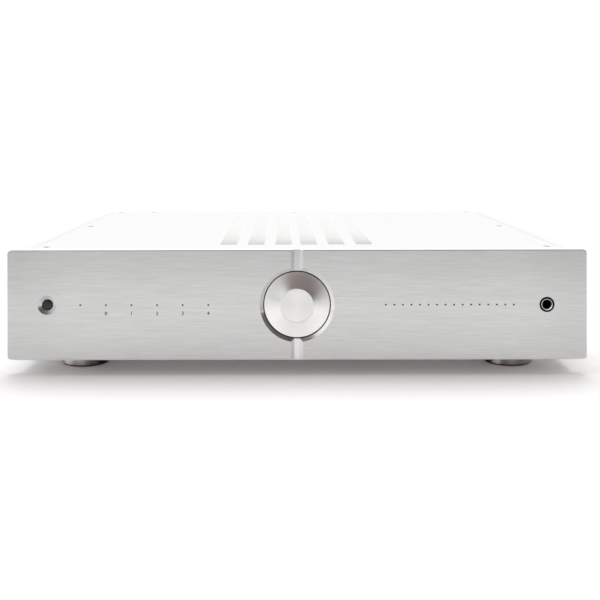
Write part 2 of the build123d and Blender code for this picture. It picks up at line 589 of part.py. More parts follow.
# --- XLR sockets ------------------------------------------------------------
def xlr_socket():
    """One socket about its own centre."""
    socket = box(-13, 13, REAR_Y, REAR_Y + 2.2, -15.5, 15.5)
    socket = fillet(socket.edges().filter_by(Axis.Y), 2.5)
    socket += rod_y(0, 0, 11.9, 350, REAR_Y + 0.2)
    socket -= rod_y(0, 0, 9.7, 355, REAR_Y + 3)
    socket -= box(-3.4, 3.4, 362, REAR_Y + 3, 8.0, 14.2)
    hole = countersink(1.6, 3.0, start=-1, neck=0.9, rim=2.1, end=3)
    socket -= [turn_y(hole, x, z, REAR_Y) for x, z in XLR_SCREWS]
    core = rod_y(0, 0, 7.6, 354.5, REAR_Y + 0.9)
    core -= [rod_y(x, z, 1.35, 356, REAR_Y + 2) for x, z in ((-3.5, 1.6), (3.5, 1.6), (0, -3.6))]
    return socket + core


def xlr_latch():
    latch = box(-3.1, 3.1, 363, REAR_Y + 3.6, 11.0, 13.6)
    return latch - box(-4, 4, REAR_Y + 2.6, REAR_Y + 4, 10.9, 11.8)


out("xlr_sockets", *[Pos(x, 0, XLR_Z) * xlr_socket() for x in XLR_X.values()])
for channel, x in XLR_X.items():
    out("xlr_latch_" + channel, xlr_latch(), at=Pos(x, 0, XLR_Z))

# --- RCA sockets: (radius, y from the rear panel's outer face) --------------
SLEEVE_R = 4.15
RCA_SHELL = [(3.35, 10.5), (SLEEVE_R - 0.25, 10.5), (SLEEVE_R, 10.2), (SLEEVE_R, 1.8),
             (6.3, 1.8), (6.5, 1.5), (6.5, 0.6), (4.75, 0.6), (4.75, -9), (3.35, -9)]
RCA_LINER = [(2.1, -10.5), (2.1, 9.3), (3.3, 9.3), (3.3, -9.05), (4.6, -9.05), (4.6, -10.5)]
RCA_CONTACT = [(1.65, 9.3), (2.05, 9.3), (2.05, -14), (1.0, -14), (1.0, -20.4), (0, -20.4),
               (0, -6), (1.65, -6)]


def rca_ring(x, z):
    return rod_y(x, z, 7.2, REAR_Y, REAR_Y + 0.55) - rod_y(x, z, 4.8, REAR_Y - 1, REAR_Y + 1)


out("rca_shells", *[turn_y(RCA_SHELL, x, z, REAR_Y) for x, z in RCA_PLACES])
out("rca_insulators", *[turn_y(RCA_LINER, x, z, REAR_Y) for x, z in RCA_PLACES],
    *[rca_ring(x, z) for x, z in RCA_PLACES])
out("rca_contacts", *[turn_y(RCA_CONTACT, x, z, REAR_Y) for x, z in RCA_PLACES])

# --- earth terminal, same profile columns, about its own axis ---------------
EARTH_AXIS = Pos(EARTH_X, 0, EARTH_Z)
EARTH_STUD = [(0, 16), (1.7, 16), (2.0, 15.7), (2.0, 2.4), (4.6, 2.4), (5.0, 2.0), (5.0, 0),
              (2.0, 0), (2.0, -REAR_T - 6), (0, -REAR_T - 6)]
EARTH_BORE_R = 2.06
EARTH_NUT = [(EARTH_BORE_R, 3.3), (5.2, 3.3), (5.6, 3.7), (5.6, 9.2), (5.0, 9.8),
             (EARTH_BORE_R, 9.8)]


def flutes(count, circle_r, r, y0, y1, x=0.0, z=0.0):
    """Ring of rods that cut grip flutes along Y."""
    angles = [radians(360 / count * k) for k in range(count)]
    return [rod_y(x + circle_r * cos(a), z + circle_r * sin(a), r, y0, y1) for a in angles]


out("earth_stud", turn_y(EARTH_STUD, base=REAR_Y) + hex_y(0, 0, 6.8, REAR_IN - 2.6, REAR_IN),
    at=EARTH_AXIS)
out("earth_washer", rod_y(0, 0, 4.6, REAR_Y + 2.45, REAR_Y + 3.25)
    - rod_y(0, 0, EARTH_BORE_R, REAR_Y, REAR_Y + 9), at=EARTH_AXIS)
out("earth_nut", turn_y(EARTH_NUT, base=REAR_Y)
    - flutes(18, 5.75, 0.45, REAR_Y + 3, REAR_Y + 10.2), at=EARTH_AXIS)

# --- speaker terminals, same profile columns --------------------------------
COLLAR_BORE_R = 4.05
CAP_BORE_R = 4.08
POST_STUD = [(BANANA_R, POST_REACH), (3.6, POST_REACH), (4.0, POST_REACH - 0.4), (4.0, 7.2),
             (7.2, 7.2), (7.4, 7.0), (7.4, 5.4), (4.0, 5.4), (4.0, -REAR_T - 14),
             (3.0, -REAR_T - 16), (0, -REAR_T - 16), (0, 5.0), (BANANA_R, 6.0)]
OUTER_COLLAR = [(COLLAR_BORE_R, 5.4), (7.9, 5.4), (8.4, 4.8), (8.4, 0), (5.1, 0),
                (5.1, -REAR_T), (COLLAR_BORE_R, -REAR_T)]
INNER_COLLAR = [(COLLAR_BORE_R, -REAR_T - 0.05), (8.0, -REAR_T - 0.05), (8.0, -REAR_T - 3.0),
                (COLLAR_BORE_R, -REAR_T - 3.0)]
POST_WASHER = [(CAP_BORE_R, 7.3), (7.0, 7.3), (7.2, 7.5), (7.2, 8.3), (CAP_BORE_R, 8.3)]
POST_CAP = [(CAP_BORE_R, 8.4), (7.3, 8.4), (7.9, 9.0), (8.1, 10.2), (8.1, 22.6), (7.4, 24.4),
            (6.2, 25.2), (CAP_BORE_R, 25.2)]


def speaker_stud(x):
    stud = turn_y(POST_STUD, x, POST_Z, REAR_Y)
    return stud - rod_z(x, REAR_Y + 10.2, 1.6, *span(POST_Z, 6))      # cross hole


def speaker_cap(x):
    cap = turn_y(POST_CAP, x, POST_Z, REAR_Y)
    return cap - flutes(12, 8.5, 1.1, REAR_Y + 10.8, REAR_Y + 27, x, POST_Z)


out("speaker_studs", *[speaker_stud(x) for x in POST_X.values()])
out("speaker_collars", *[turn_y(profile, x, POST_Z, REAR_Y)
                         for x in POST_X.values() for profile in (OUTER_COLLAR, INNER_COLLAR)])
for name, x in POST_X.items():
    out("washer_" + name, turn_y(POST_WASHER, x, POST_Z, REAR_Y))
    out("cap_" + name, speaker_cap(x))
out("connector_nuts",
    *[nut_y(x, z, 12.0, 4.78, REAR_IN - 2.4, REAR_IN) for x, z in RCA_PLACES],
    *[nut_y(x, POST_Z, 12.0, COLLAR_BORE_R, REAR_IN - 6.0, REAR_IN - 3.05)
      for x in POST_X.values()])

# --- transformer: (radius, z from the base plate), about its own axis -------
TOROID_AXIS = Pos(TOROID_X, TOROID_Y, 0)
CORE = [(20, 2.6), (54, 2.6), (57.5, 6), (58, 12), (58, 51), (57.5, 57), (54, 60.5), (20, 60.5),
        (17, 57), (16.5, 51), (16.5, 12), (17, 6)]
LOWER_PAD = [(12, 0), (54, 0), (54, 2.55), (12, 2.55)]
UPPER_PAD = [(14.5, 60.6), (40, 60.6), (40, 62.6), (14.5, 62.6)]
CLAMP_DISH = [(3.2, 59.5), (10.5, 59.5), (13, 62.7), (38, 62.7), (42, 64), (42, 65.2),
              (38, 64.2), (12, 64.2), (9.5, 61), (3.2, 61)]


def clamp_bolt():
    head = rod_z(0, 0, 6.0, BASE_Z - 2.4, BASE_Z) - hex_z(0, 0, 5.0, BASE_Z - 4, BASE_Z - 0.8)
    shank = rod_z(0, 0, 3.0, BASE_Z - 0.1, FLOOR_Z + 66)
    return shank + hex_z(0, 0, 10.0, FLOOR_Z + 61.05, FLOOR_Z + 65.5) + head


out("toroidal_transformer", turn_z(CORE, base=FLOOR_Z), at=TOROID_AXIS)
out("transformer_pads", turn_z(LOWER_PAD, base=FLOOR_Z), turn_z(UPPER_PAD, base=FLOOR_Z),
    at=TOROID_AXIS)
out("transformer_clamp", turn_z(CLAMP_DISH, base=FLOOR_Z), clamp_bolt(), at=TOROID_AXIS)

# --- boards on pillars ------------------------------------------------------
BOARD_Z = FLOOR_Z + 8.0
BOARD_T = 1.6
CAPACITOR = [(0, 1.6), (17.2, 1.6), (17.5, 2.0), (17.5, 4.6), (16.9, 5.4), (17.5, 6.2),
             (17.5, 49), (16.6, 50.4), (0, 50.4)]    # (radius, z from the board's underside)


def level_board(x0, x1, y0, y1):
    holes = [rod_z(x, y, 1.7, BOARD_Z - 1, BOARD_Z + 3) for x, y in STANDOFFS]
    return box(x0, x1, y0, y1, BOARD_Z, BOARD_Z + BOARD_T) - holes


def standoff(x, y):
    pillar = hex_z(x, y, 6.0, FLOOR_Z, BOARD_Z)
    stud = rod_z(x, y, 1.5, BOARD_Z, BOARD_Z + 3.2)
    return pillar + (stud + hex_z(x, y, 5.5, BOARD_Z + 1.65, BOARD_Z + 3.6))


def led_pillar(x, z):
    return (rod_y(x, z, 2.8, SUB_BACK, 14.0) + rod_y(x, z, 1.5, 13.9, 15.7)
            + rod_y(x, z, 2.7, 15.62, 17.4))


out("supply_board", level_board(-196, -84, 170, 334))
out("preamplifier_board", level_board(78, 190, 106, 306))
out("board_pillars", *[standoff(x, y) for x, y in STANDOFFS],
    *[led_pillar(x, z) for x, z in LED_PILLARS])
out("reservoir_capacitors", *[turn_z(CAPACITOR, x, y, BOARD_Z) for x in (-172.0, -133.0)
                              for y in (193.0, 232.0, 271.0, 310.0)])

# --- heat sinks, power devices, amplifier boards ----------------------------
SINK_FRONT, SINK_BACK = 44.0, 292.0
SINK_Z0, SINK_Z1 = FLOOR_Z + 4.0, COVER_UNDER - 4.0
SINK_FACE = 60.0         # outer face of the sink, from the centre plane
FIN_ROOT, FIN_TIP = 54, 6
FIN_T = 2.0
FIN_COUNT = 31
DEVICE_Y = (80.0, 138.0, 196.0, 254.0)
DEVICE_HOLE_Z = 59.5


def heat_sink(side):
    """Comb of fins pointing to the centre plane, on two feet."""
    pitch = (SINK_BACK - SINK_FRONT - FIN_T) / (FIN_COUNT - 1)
    outline = [(SINK_FACE, SINK_FRONT), (SINK_FACE, SINK_BACK)]
    for i in range(FIN_COUNT):
        back = SINK_BACK - i * pitch
        front = back - FIN_T
        outline += [(FIN_ROOT, back), (FIN_TIP, back), (FIN_TIP, front), (FIN_ROOT, front)]
    body = prism_z([(side * x, y) for x, y in outline], SINK_Z0, SINK_Z1)
    return body + [box(side * 48, side * SINK_FACE, *span(y, 6), FLOOR_Z, SINK_Z0)
                   for y in (50.0, 286.0)]


def transistor(side, y):
    body = box(side * SINK_FACE, side * 65, *span(y, 8), 44, 65)
    body -= rod_x(y, DEVICE_HOLE_Z, 1.8, side * 59, side * 66)
    # bent legs: down, then outwards to the amplifier board
    for reach, z0, z1 in ((62.9, 34, 44), (68.0, 33.2, 34)):
        body += [box(side * 62.2, side * reach, *span(y + leg, 0.6), z0, z1)
                 for leg in (-5.4, 0, 5.4)]
    return body


def rectifier(y):
    x = -99
    body = box(*span(x, 11), *span(y, 11), BOARD_Z + 6, BOARD_Z + 14)
    body = fillet(body.edges().filter_by(Axis.Z), 2.0)
    body -= rod_z(x, y, 2.3, BOARD_Z, BOARD_Z + 16)
    body += [box(*span(leg_x, 0.5), *span(leg_y, 0.5), BOARD_Z + BOARD_T, BOARD_Z + 6)
             for leg_x in span(x, 8) for leg_y in span(y, 8)]
    return body


def amplifier_board(side):
    board = box(side * 68, side * 69.6, 52, 284, FLOOR_Z + 5, 84)
    board -= [rod_x(y, DEVICE_HOLE_Z, 5.0, side * 67, side * 71) for y in DEVICE_Y]
    return board


out("heat_sinks", *[heat_sink(side) for side in SIDES])
out("power_semiconductors", *[transistor(side, y) for side in SIDES for y in DEVICE_Y],
    *[rectifier(y) for y in (215.0, 290.0)])
out("amplifier_boards", *[amplifier_board(side) for side in SIDES])

# --- input board behind the sockets -----------------------------------------
out("input_board", box(34, 199, 348.0, 349.6, FLOOR_Z + 6, 86))

# --- wiring -----------------------------------------------------------------
TO_FRONT, TO_REAR = (0, -1, 0), (0, 1, 0)
STUD_END_Y = REAR_IN - 16
INLET_TO_SWITCH = [(-158, 342, 66), (-155, 335, 66.5), (-136, 330, 67), (-118, 335, 66.5),
                   (-115, 346, 66)]
INLET_FORWARD = [(-155, 342, 58), (-145, 333.5, 55), (-124, 329, 49), (-112.7, 312, 46)]
# from the amplifier boards to each speaker stud, whose inner end is added
SPEAKER_LEADS = {
    "left_minus": [(-68.8, 284, 40), (-68.5, 300, 42), (-64, 325, 50), (-61.2, 340, 54.5)],
    "left_plus": [(-68.8, 284, 56), (-66, 302, 57), (-50, 328, 56), (-42.5, 342, 55)],
    "right_plus": [(68.8, 284, 40), (62, 306, 42), (30, 331, 50), (9.5, 343, 54.5)],
    "right_minus": [(68.8, 284, 60), (64, 303, 60), (22, 330, 59), (-9, 343, 55.7)],
}


def cable(points, r, start, end):
    path = Spline(*points, tangents=(start, end))
    return sweep(Plane(origin=path @ 0, z_dir=path % 0) * Circle(r), path=path)


def wiring():
    looms = [cable(INLET_TO_SWITCH, 1.5, TO_FRONT, TO_REAR),
             cable(INLET_FORWARD, 1.4, TO_FRONT, TO_FRONT) + rod_y(-112.7, 46, 1.4, 151.5, 312.0)]
    for post, points in SPEAKER_LEADS.items():
        stud_end = (POST_X[post], STUD_END_Y, POST_Z)
        looms.append(cable(points + [stud_end], 1.5, TO_REAR, TO_REAR))
    return looms


out("wiring_looms", *wiring())
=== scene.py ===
import math
import random

import bpy
import bmesh
from mathutils import Matrix, Vector


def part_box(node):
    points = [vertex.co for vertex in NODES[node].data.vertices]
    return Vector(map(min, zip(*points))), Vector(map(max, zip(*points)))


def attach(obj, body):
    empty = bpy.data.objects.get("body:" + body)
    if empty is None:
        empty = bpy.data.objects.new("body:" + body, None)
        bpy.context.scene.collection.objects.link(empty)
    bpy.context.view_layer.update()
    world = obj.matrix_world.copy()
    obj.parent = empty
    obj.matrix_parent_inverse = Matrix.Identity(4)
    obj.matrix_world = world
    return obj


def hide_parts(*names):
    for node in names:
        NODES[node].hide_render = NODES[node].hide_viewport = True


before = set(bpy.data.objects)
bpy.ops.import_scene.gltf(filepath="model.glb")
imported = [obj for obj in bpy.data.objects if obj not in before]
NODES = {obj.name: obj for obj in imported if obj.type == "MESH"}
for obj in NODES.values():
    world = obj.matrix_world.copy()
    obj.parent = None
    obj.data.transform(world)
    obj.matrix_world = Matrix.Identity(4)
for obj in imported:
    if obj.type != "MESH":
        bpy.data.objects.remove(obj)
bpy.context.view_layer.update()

scene = bpy.context.scene
rng = random.Random(7)

# --------------------------------------------------------------------------
# Where things are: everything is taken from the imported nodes' boxes.
# P(x, y, z) is a point in millimetres: x from the middle, y behind the front
# panel's face, z above the table.
# --------------------------------------------------------------------------
PANEL_LO, PANEL_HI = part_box("front_panel")
PF = PANEL_LO.y
ZC = (PANEL_LO.z + PANEL_HI.z) / 2 * 1000
PT = PANEL_HI.z * 1000
PB = PANEL_LO.z * 1000


def P(x, y, z):
    return Vector((x / 1000, PF + y / 1000, z / 1000))


def mm_box(node):
    lo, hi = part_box(node)
    return ([lo.x * 1000, (lo.y - PF) * 1000, lo.z * 1000], [hi.x * 1000, (hi.y - PF) * 1000, hi.z * 1000])


def centre_mm(node):
    lo, hi = mm_box(node)
    return [(a + b) / 2 for a, b in zip(lo, hi)]


# --------------------------------------------------------------------------
# Mesh building
# --------------------------------------------------------------------------
class Build:
    """Collects vertices in millimetres (panel frame) and makes one object."""

    def __init__(self):
        self.v, self.f, self.m = [], [], []

    def add(self, verts, faces, mat=0):
        n = len(self.v)
        self.v += [tuple(p) for p in verts]
        self.f += [tuple(i + n for i in f) for f in faces]
        self.m += [mat] * len(faces)

    def lathe(self, prof, seg=48, axis="Y", at=(0, 0, 0), mat=0, closed=True, mats=None):
        """prof: (radius, height) points along the axis; closed joins the last point to the first."""
        verts, rings = [], []
        for r, h in prof:
            if r < 1e-6:
                rings.append([len(verts)])
                verts.append((0.0, 0.0, h))
            else:
                ring = []
                for k in range(seg):
                    a = 2 * math.pi * k / seg
                    ring.append(len(verts))
                    verts.append((r * math.cos(a), r * math.sin(a), h))
                rings.append(ring)
        faces, fm = [], []
        n = len(rings)
        for i in range(n if closed else n - 1):
            a, b = rings[i], rings[(i + 1) % n]
            mm = mats[i] if mats else mat
            if len(a) == 1 and len(b) == 1:
                continue
            for k in range(seg):
                k2 = (k + 1) % seg
                if len(a) == 1:
                    faces.append((a[0], b[k], b[k2]))
                elif len(b) == 1:
                    faces.append((a[k], b[0], a[k2]))
                else:
                    faces.append((a[k], b[k], b[k2], a[k2]))
                fm.append(mm)
        out = []
        for x, y, z in verts:
            if axis == "Y":
                out.append((x + at[0], z + at[1], y + at[2]))
            elif axis == "Z":
                out.append((x + at[0], y + at[1], z + at[2]))
            else:
                out.append((z + at[0], x + at[1], y + at[2]))
        base = len(self.v)
        self.v += out
        self.f += [tuple(i + base for i in f) for f in faces]
        self.m += fm

    def slab(self, x0, x1, y0, y1, z0, z1, c=0.2, mat=0):
        """Box whose twelve edges are chamfered by c."""
        c = min(c, abs(x1 - x0) / 2.2, abs(y1 - y0) / 2.2, abs(z1 - z0) / 2.2)
        cx, cy, cz = (x0 + x1) / 2, (y0 + y1) / 2, (z0 + z1) / 2
        hx, hy, hz = abs(x1 - x0) / 2, abs(y1 - y0) / 2, abs(z1 - z0) / 2
        verts, idx = [], {}
        for sx in (-1, 1):
            for sy in (-1, 1):
                for sz in (-1, 1):
                    for ax in range(3):
                        h = [hx, hy, hz]
                        p = [sx * (h[0] - (0 if ax == 0 else c)), sy * (h[1] - (0 if ax == 1 else c)), sz * (h[2] - (0 if ax == 2 else c))]
                        idx[(sx, sy, sz, ax)] = len(verts)
                        verts.append((cx + p[0], cy + p[1], cz + p[2]))
        faces = []
        for ax in range(3):
            for s in (-1, 1):
                quad = []
                for a, b in ((-1, -1), (1, -1), (1, 1), (-1, 1)):
                    key = [0, 0, 0]
                    key[ax] = s
                    o = [i for i in range(3) if i != ax]
                    key[o[0]], key[o[1]] = a, b
                    quad.append(idx[(key[0], key[1], key[2], ax)])
                faces.append(tuple(quad))
        for ax in range(3):
            o = [i for i in range(3) if i != ax]
            for a in (-1, 1):
                for b in (-1, 1):
                    k0, k1 = [0, 0, 0], [0, 0, 0]
                    k0[o[0]] = k1[o[0]] = a
                    k0[o[1]] = k1[o[1]] = b
                    k0[ax], k1[ax] = -1, 1
                    faces.append((idx[(*k0, o[0])], idx[(*k1, o[0])], idx[(*k1, o[1])], idx[(*k0, o[1])]))
        for sx in (-1, 1):
            for sy in (-1, 1):
                for sz in (-1, 1):
                    faces.append((idx[(sx, sy, sz, 0)], idx[(sx, sy, sz, 1)], idx[(sx, sy, sz, 2)]))
        self.add(verts, faces, mat)

    def tube(self, pts, r, seg=12, mat=0, steps=6):
        """Round cable through the points, smoothed."""
        path = catmull([Vector(p) for p in pts], steps)
        frames, up = [], Vector((0, 0, 1))
        for i, p in enumerate(path):
            t = (path[min(i + 1, len(path) - 1)] - path[max(i - 1, 0)]).normalized()
            side = t.cross(up)
            if side.length < 1e-3:
                side = t.cross(Vector((1, 0, 0)))
            side.normalize()
            up = side.cross(t).normalized()
            frames.append((p, side, up))
        verts, faces = [], []
        for p, s, u in frames:
            for k in range(seg):
                a = 2 * math.pi * k / seg
                verts.append(p + s * (r * math.cos(a)) + u * (r * math.sin(a)))
        for i in range(len(frames) - 1):
            for k in range(seg):
                k2 = (k + 1) % seg
                faces.append((i * seg + k, i * seg + k2, (i + 1) * seg + k2, (i + 1) * seg + k))
        faces.append(tuple(range(seg)))
        faces.append(tuple((len(frames) - 1) * seg + k for k in reversed(range(seg))))
        self.add(verts, faces, mat)

    def obj(self, name, mats, body="chassis", smooth=35, slot=None, origin=None, bevel=None):
        me = bpy.data.meshes.new(name)
        o_mm = Vector(origin) if origin else Vector((0, 0, 0))
        me.from_pydata([(Vector(p) - o_mm) / 1000 for p in self.v], [], self.f)
        for m in mats:
            me.materials.append(m)
        me.polygons.foreach_set("material_index", self.m)
        bm = bmesh.new()
        bm.from_mesh(me)
        bmesh.ops.recalc_face_normals(bm, faces=bm.faces)
        bm.to_mesh(me)
        bm.free()
        me.update()
        ob = bpy.data.objects.new(name, me)
        scene.collection.objects.link(ob)
        ob.location = Vector((0, PF, 0)) + o_mm / 1000
        if bevel:
            b = ob.modifiers.new("bevel", "BEVEL")
            b.width, b.segments, b.limit_method, b.angle_limit = bevel / 1000, 2, "ANGLE", math.radians(40)
        shade(ob, smooth)
        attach(ob, body)
        return ob


def catmull(pts, steps):
    if len(pts) < 3:
        return pts
    ext = [pts[0] * 2 - pts[1]] + pts + [pts[-1] * 2 - pts[-2]]
    out = []
    for i in range(1, len(ext) - 2):
        p0, p1, p2, p3 = ext[i - 1], ext[i], ext[i + 1], ext[i + 2]
        for k in range(steps):
            t = k / steps
            out.append(0.5 * ((2 * p1) + (p2 - p0) * t + (2 * p0 - 5 * p1 + 4 * p2 - p3) * t * t + (3 * p1 - p0 - 3 * p2 + p3) * t ** 3))
    out.append(pts[-1])
    return out


def shade(ob, angle):
    me = ob.data
    me.polygons.foreach_set("use_smooth", [True] * len(me.polygons))
    me.update()
    if angle >= 180:
        return
    bm = bmesh.new()
    bm.from_mesh(me)
    lim = math.radians(angle)
    for e in bm.edges:
        e.smooth = len(e.link_faces) == 2 and e.calc_face_angle(0.0) <= lim
    bm.to_mesh(me)
    bm.free()


# --------------------------------------------------------------------------
# Materials
# --------------------------------------------------------------------------
class Mat:
    def __init__(self, name, **kw):
        self.m = bpy.data.materials.new(name)
        self.m.use_nodes = True
        self.t = self.m.node_tree
        self.t.nodes.clear()
        self.out = self.t.nodes.new("ShaderNodeOutputMaterial")
        self.b = self.t.nodes.new("ShaderNodeBsdfPrincipled")
        self.t.links.new(self.b.outputs[0], self.out.inputs["Surface"])
        for k, v in kw.items():
            self.b.inputs[k.replace("_", " ")].default_value = v
        self._coord = None

    def n(self, kind, **props):
        node = self.t.nodes.new("ShaderNode" + kind)
        for k, v in props.items():
            if k == "inp":
                for a, b in v.items():
                    if hasattr(b, "is_output"):
                        self.t.links.new(b, node.inputs[a])
                    else:
                        node.inputs[a].default_value = b
            else:
                setattr(node, k, v)
        return node

    def coord(self):
        if self._coord is None:
            self._coord = self.n("TexCoord").outputs["Object"]
        return self._coord

    def noise(self, scale=(1, 1, 1), detail=2.0, rough=0.5, size=1.0, vec=None):
        """Noise whose cell size along each axis is 1/scale, in metres; output is about 0 to 1."""
        mp = self.n("Mapping", inp={"Vector": vec or self.coord(), "Scale": scale})
        return self.n("TexNoise", inp={"Vector": mp.outputs[0], "Scale": size, "Detail": detail, "Roughness": rough}).outputs["Fac"]

    def voronoi(self, scale=(1, 1, 1), feature="F1", vec=None, out="Distance"):
        mp = self.n("Mapping", inp={"Vector": vec or self.coord(), "Scale": scale})
        return self.n("TexVoronoi", feature=feature, inp={"Vector": mp.outputs[0], "Scale": 1.0}).outputs[out]

    def math(self, op, a, b=0.0, c=0.0, clamp=False):
        return self.n("Math", operation=op, use_clamp=clamp, inp={0: a, 1: b, 2: c}).outputs[0]

    def remap(self, x, a, b, lo, hi, smooth=False):
        return self.n("MapRange", interpolation_type="SMOOTHSTEP" if smooth else "LINEAR", inp={"Value": x, "From Min": a, "From Max": b, "To Min": lo, "To Max": hi}).outputs[0]

    def mix(self, fac, a, b, blend="MIX"):
        node = self.n("Mix", data_type="RGBA", blend_type=blend, clamp_result=False)
        for i, v in ((0, fac), (6, a), (7, b)):
            if hasattr(v, "is_output"):
                self.t.links.new(v, node.inputs[i])
            else:
                node.inputs[i].default_value = v
        return node.outputs[2]

    def scaled(self, colour, factor):
        """colour times a scalar output."""
        node = self.n("VectorMath", operation="SCALE")
        if hasattr(colour, "is_output"):
            self.t.links.new(colour, node.inputs[0])
        else:
            node.inputs[0].default_value = colour[:3]
        self.t.links.new(factor, node.inputs["Scale"])
        return node.outputs[0]

    def put(self, name, value):
        sock = self.b.inputs[name]
        if hasattr(value, "is_output"):
            self.t.links.new(value, sock)
        else:
            sock.default_value = value
        return self

    def bump(self, height, strength=0.3, distance=0.0001, after=None):
        inp = {"Height": height, "Strength": strength, "Distance": distance}
        if after is not None:
            inp["Normal"] = after
        o = self.n("Bump", inp=inp).outputs[0]
        self.put("Normal", o)
        return o

    def xyz(self, vec=None):
        return self.n("SeparateXYZ", inp={0: vec or self.coord()}).outputs

    def curve(self, x, stops):
        """Piecewise-linear function of x (0 to 1) through (x, value) stops, values up to 2."""
        ramp = self.n("ValToRGB", inp={0: x})
        el = ramp.color_ramp.elements
        while len(el) < len(stops):
            el.new(0.5)
        for e_, (at_, v_) in zip(el, stops):
            e_.position = at_
            e_.color = (v_ / 2, v_ / 2, v_ / 2, 1)
        return self.math("MULTIPLY", ramp.outputs[0], 2.0)


def grey(v, warm=0.0):
    return (v * (1 + warm), v, v * (1 - warm), 1.0)


def brushed(name, base, rough, along, warm=0.008, aniso=0.6, var=0.10, fine=3200.0, mid=620.0, tint=(1, 1, 1), painted_sheen=0.0):
    """Sheet brushed along one axis: long thin streaks in tone, roughness and height; on request also a painted
    reflection, a lighter band across the middle height with painted shade towards the top, the bottom and both side
    ends.
    """
    m = Mat(name, Metallic=1.0)
    k = {"x": 0, "y": 1, "z": 2}[along]

    def sc(v, length):
        s = [v, v, v]
        s[k] = length
        return tuple(s)
    a = m.noise(sc(fine, 48.0), 3.0, 0.6)
    b = m.noise(sc(mid * 1.25, 40.0), 2.5, 0.6)
    c = m.noise(sc(90.0, 12.0), 2.0, 0.5)
    f = m.math("MULTIPLY_ADD", m.math("SUBTRACT", a, 0.5), var * 2.9, 1.0)
    f = m.math("MULTIPLY", f, m.math("MULTIPLY_ADD", m.math("SUBTRACT", b, 0.5), var * 1.9, 1.0))
    f = m.math("MULTIPLY", f, m.math("MULTIPLY_ADD", m.math("SUBTRACT", c, 0.5), var * 0.6, 1.0))
    # painted reflection: lighter across the middle height, painted shade towards the top and bottom edges and slightly
    # darker towards both side ends
    if painted_sheen:
        off = m.math("ABSOLUTE", m.math("SUBTRACT", m.xyz()[2], ZC / 1000))
        f = m.math("MULTIPLY", f, m.remap(off, 0.0, 0.042, 1.0 + painted_sheen, 0.985, True))
        f = m.math("MULTIPLY", f, m.remap(m.math("ABSOLUTE", m.xyz()[0]), 0.165, 0.215, 1.0, 0.94, True))
    m.put("Base Color", m.scaled(tuple(u * v for u, v in zip(grey(base, warm), tint)) + (1.0,), f))
    m.put("Roughness", m.math("ADD", m.math("MULTIPLY", m.math("SUBTRACT", b, 0.5), 0.14), rough))
    m.put("Anisotropic", aniso)
    t = m.n("CombineXYZ", inp={0: 1.0 if k == 0 else 0.0, 1: 1.0 if k == 1 else 0.0, 2: 1.0 if k == 2 else 0.0}).outputs[0]
    m.put("Tangent", t)
    m.bump(m.math("ADD", m.math("MULTIPLY", a, 0.6), m.math("MULTIPLY", b, 0.4)), 0.12, 0.00004)
    return m.m


def turned(name, base, rough, centre, axis="y", warm=0.006, aniso=0.5, groove=2600.0, var=0.06, bump=0.10, shade=None, metallic=1.0):
    """Lathe-turned metal: fine rings round an axis through centre (metres). shade: (turn clockwise from the top,
    factor) stops of painted light and shade round the centre, fixed in the world like reflections.
    """
    m = Mat(name, Metallic=metallic)
    pos = m.n("NewGeometry").outputs["Position"]
    rel = m.n("VectorMath", operation="SUBTRACT", inp={0: pos, 1: tuple(centre)}).outputs[0]
    ax = {"x": (1, 0, 0), "y": (0, 1, 0), "z": (0, 0, 1)}[axis]
    tang = m.n("VectorMath", operation="CROSS_PRODUCT", inp={0: rel, 1: ax}).outputs[0]
    rad = m.n("VectorMath", operation="LENGTH", inp={0: tang}).outputs["Value"]
    s = m.xyz(rel)
    along = s[{"x": 0, "y": 1, "z": 2}[axis]]
    vec = m.n("CombineXYZ", inp={0: m.math("MULTIPLY", rad, groove), 1: m.math("MULTIPLY", along, groove), 2: 0.0}).outputs[0]
    a = m.n("TexNoise", inp={"Vector": vec, "Scale": 1.0, "Detail": 3.0, "Roughness": 0.6}).outputs["Fac"]
    broad = m.noise((60, 60, 60), 2.0)
    f = m.math("MULTIPLY_ADD", m.math("SUBTRACT", a, 0.5), var * 2, 1.0)
    f = m.math("MULTIPLY", f, m.math("MULTIPLY_ADD", m.math("SUBTRACT", broad, 0.5), 0.04, 1.0))
    # painted light and shade by angle round the centre, fixed in the world
    if shade:
        turn = m.math("FRACT", m.math("ADD", m.math("DIVIDE", m.math("ARCTAN2", s[0], s[2]), 2 * math.pi), 1.0))
        f = m.math("MULTIPLY", f, m.curve(turn, shade))
    m.put("Base Color", m.scaled(grey(base, warm), f))
    m.put("Roughness", m.math("ADD", m.math("MULTIPLY", m.math("SUBTRACT", a, 0.5), 0.12), rough))
    m.put("Anisotropic", aniso)
    m.put("Tangent", m.n("VectorMath", operation="NORMALIZE", inp={0: tang}).outputs[0])
    m.bump(a, bump, 0.00003)
    return m.m


def milled(name, base, rough, warm=0.01, painted_bottom_sheen=None):
    """Smooth machined aluminium: faint cutter marks; on request also a painted reflection that makes it lighter
    towards the bottom of the panel.
    """
    m = Mat(name, Metallic=1.0)
    a = m.noise((900, 900, 900), 2.0)
    b = m.noise((70, 70, 70), 2.0)
    f = m.math("MULTIPLY_ADD", m.math("SUBTRACT", b, 0.5), 0.06, 1.0)
    # painted reflection of the floor: the given factor at the panel's bottom edge, fading to none at its top
    if painted_bottom_sheen:
        f = m.math("MULTIPLY", f, m.remap(m.xyz()[2], PB / 1000, PT / 1000, painted_bottom_sheen, 1.0))
    m.put("Base Color", m.scaled(grey(base, warm), f))
    m.put("Roughness", m.math("ADD", m.math("MULTIPLY", m.math("SUBTRACT", a, 0.5), 0.10), rough))
    m.bump(a, 0.05, 0.00002)
    return m.m


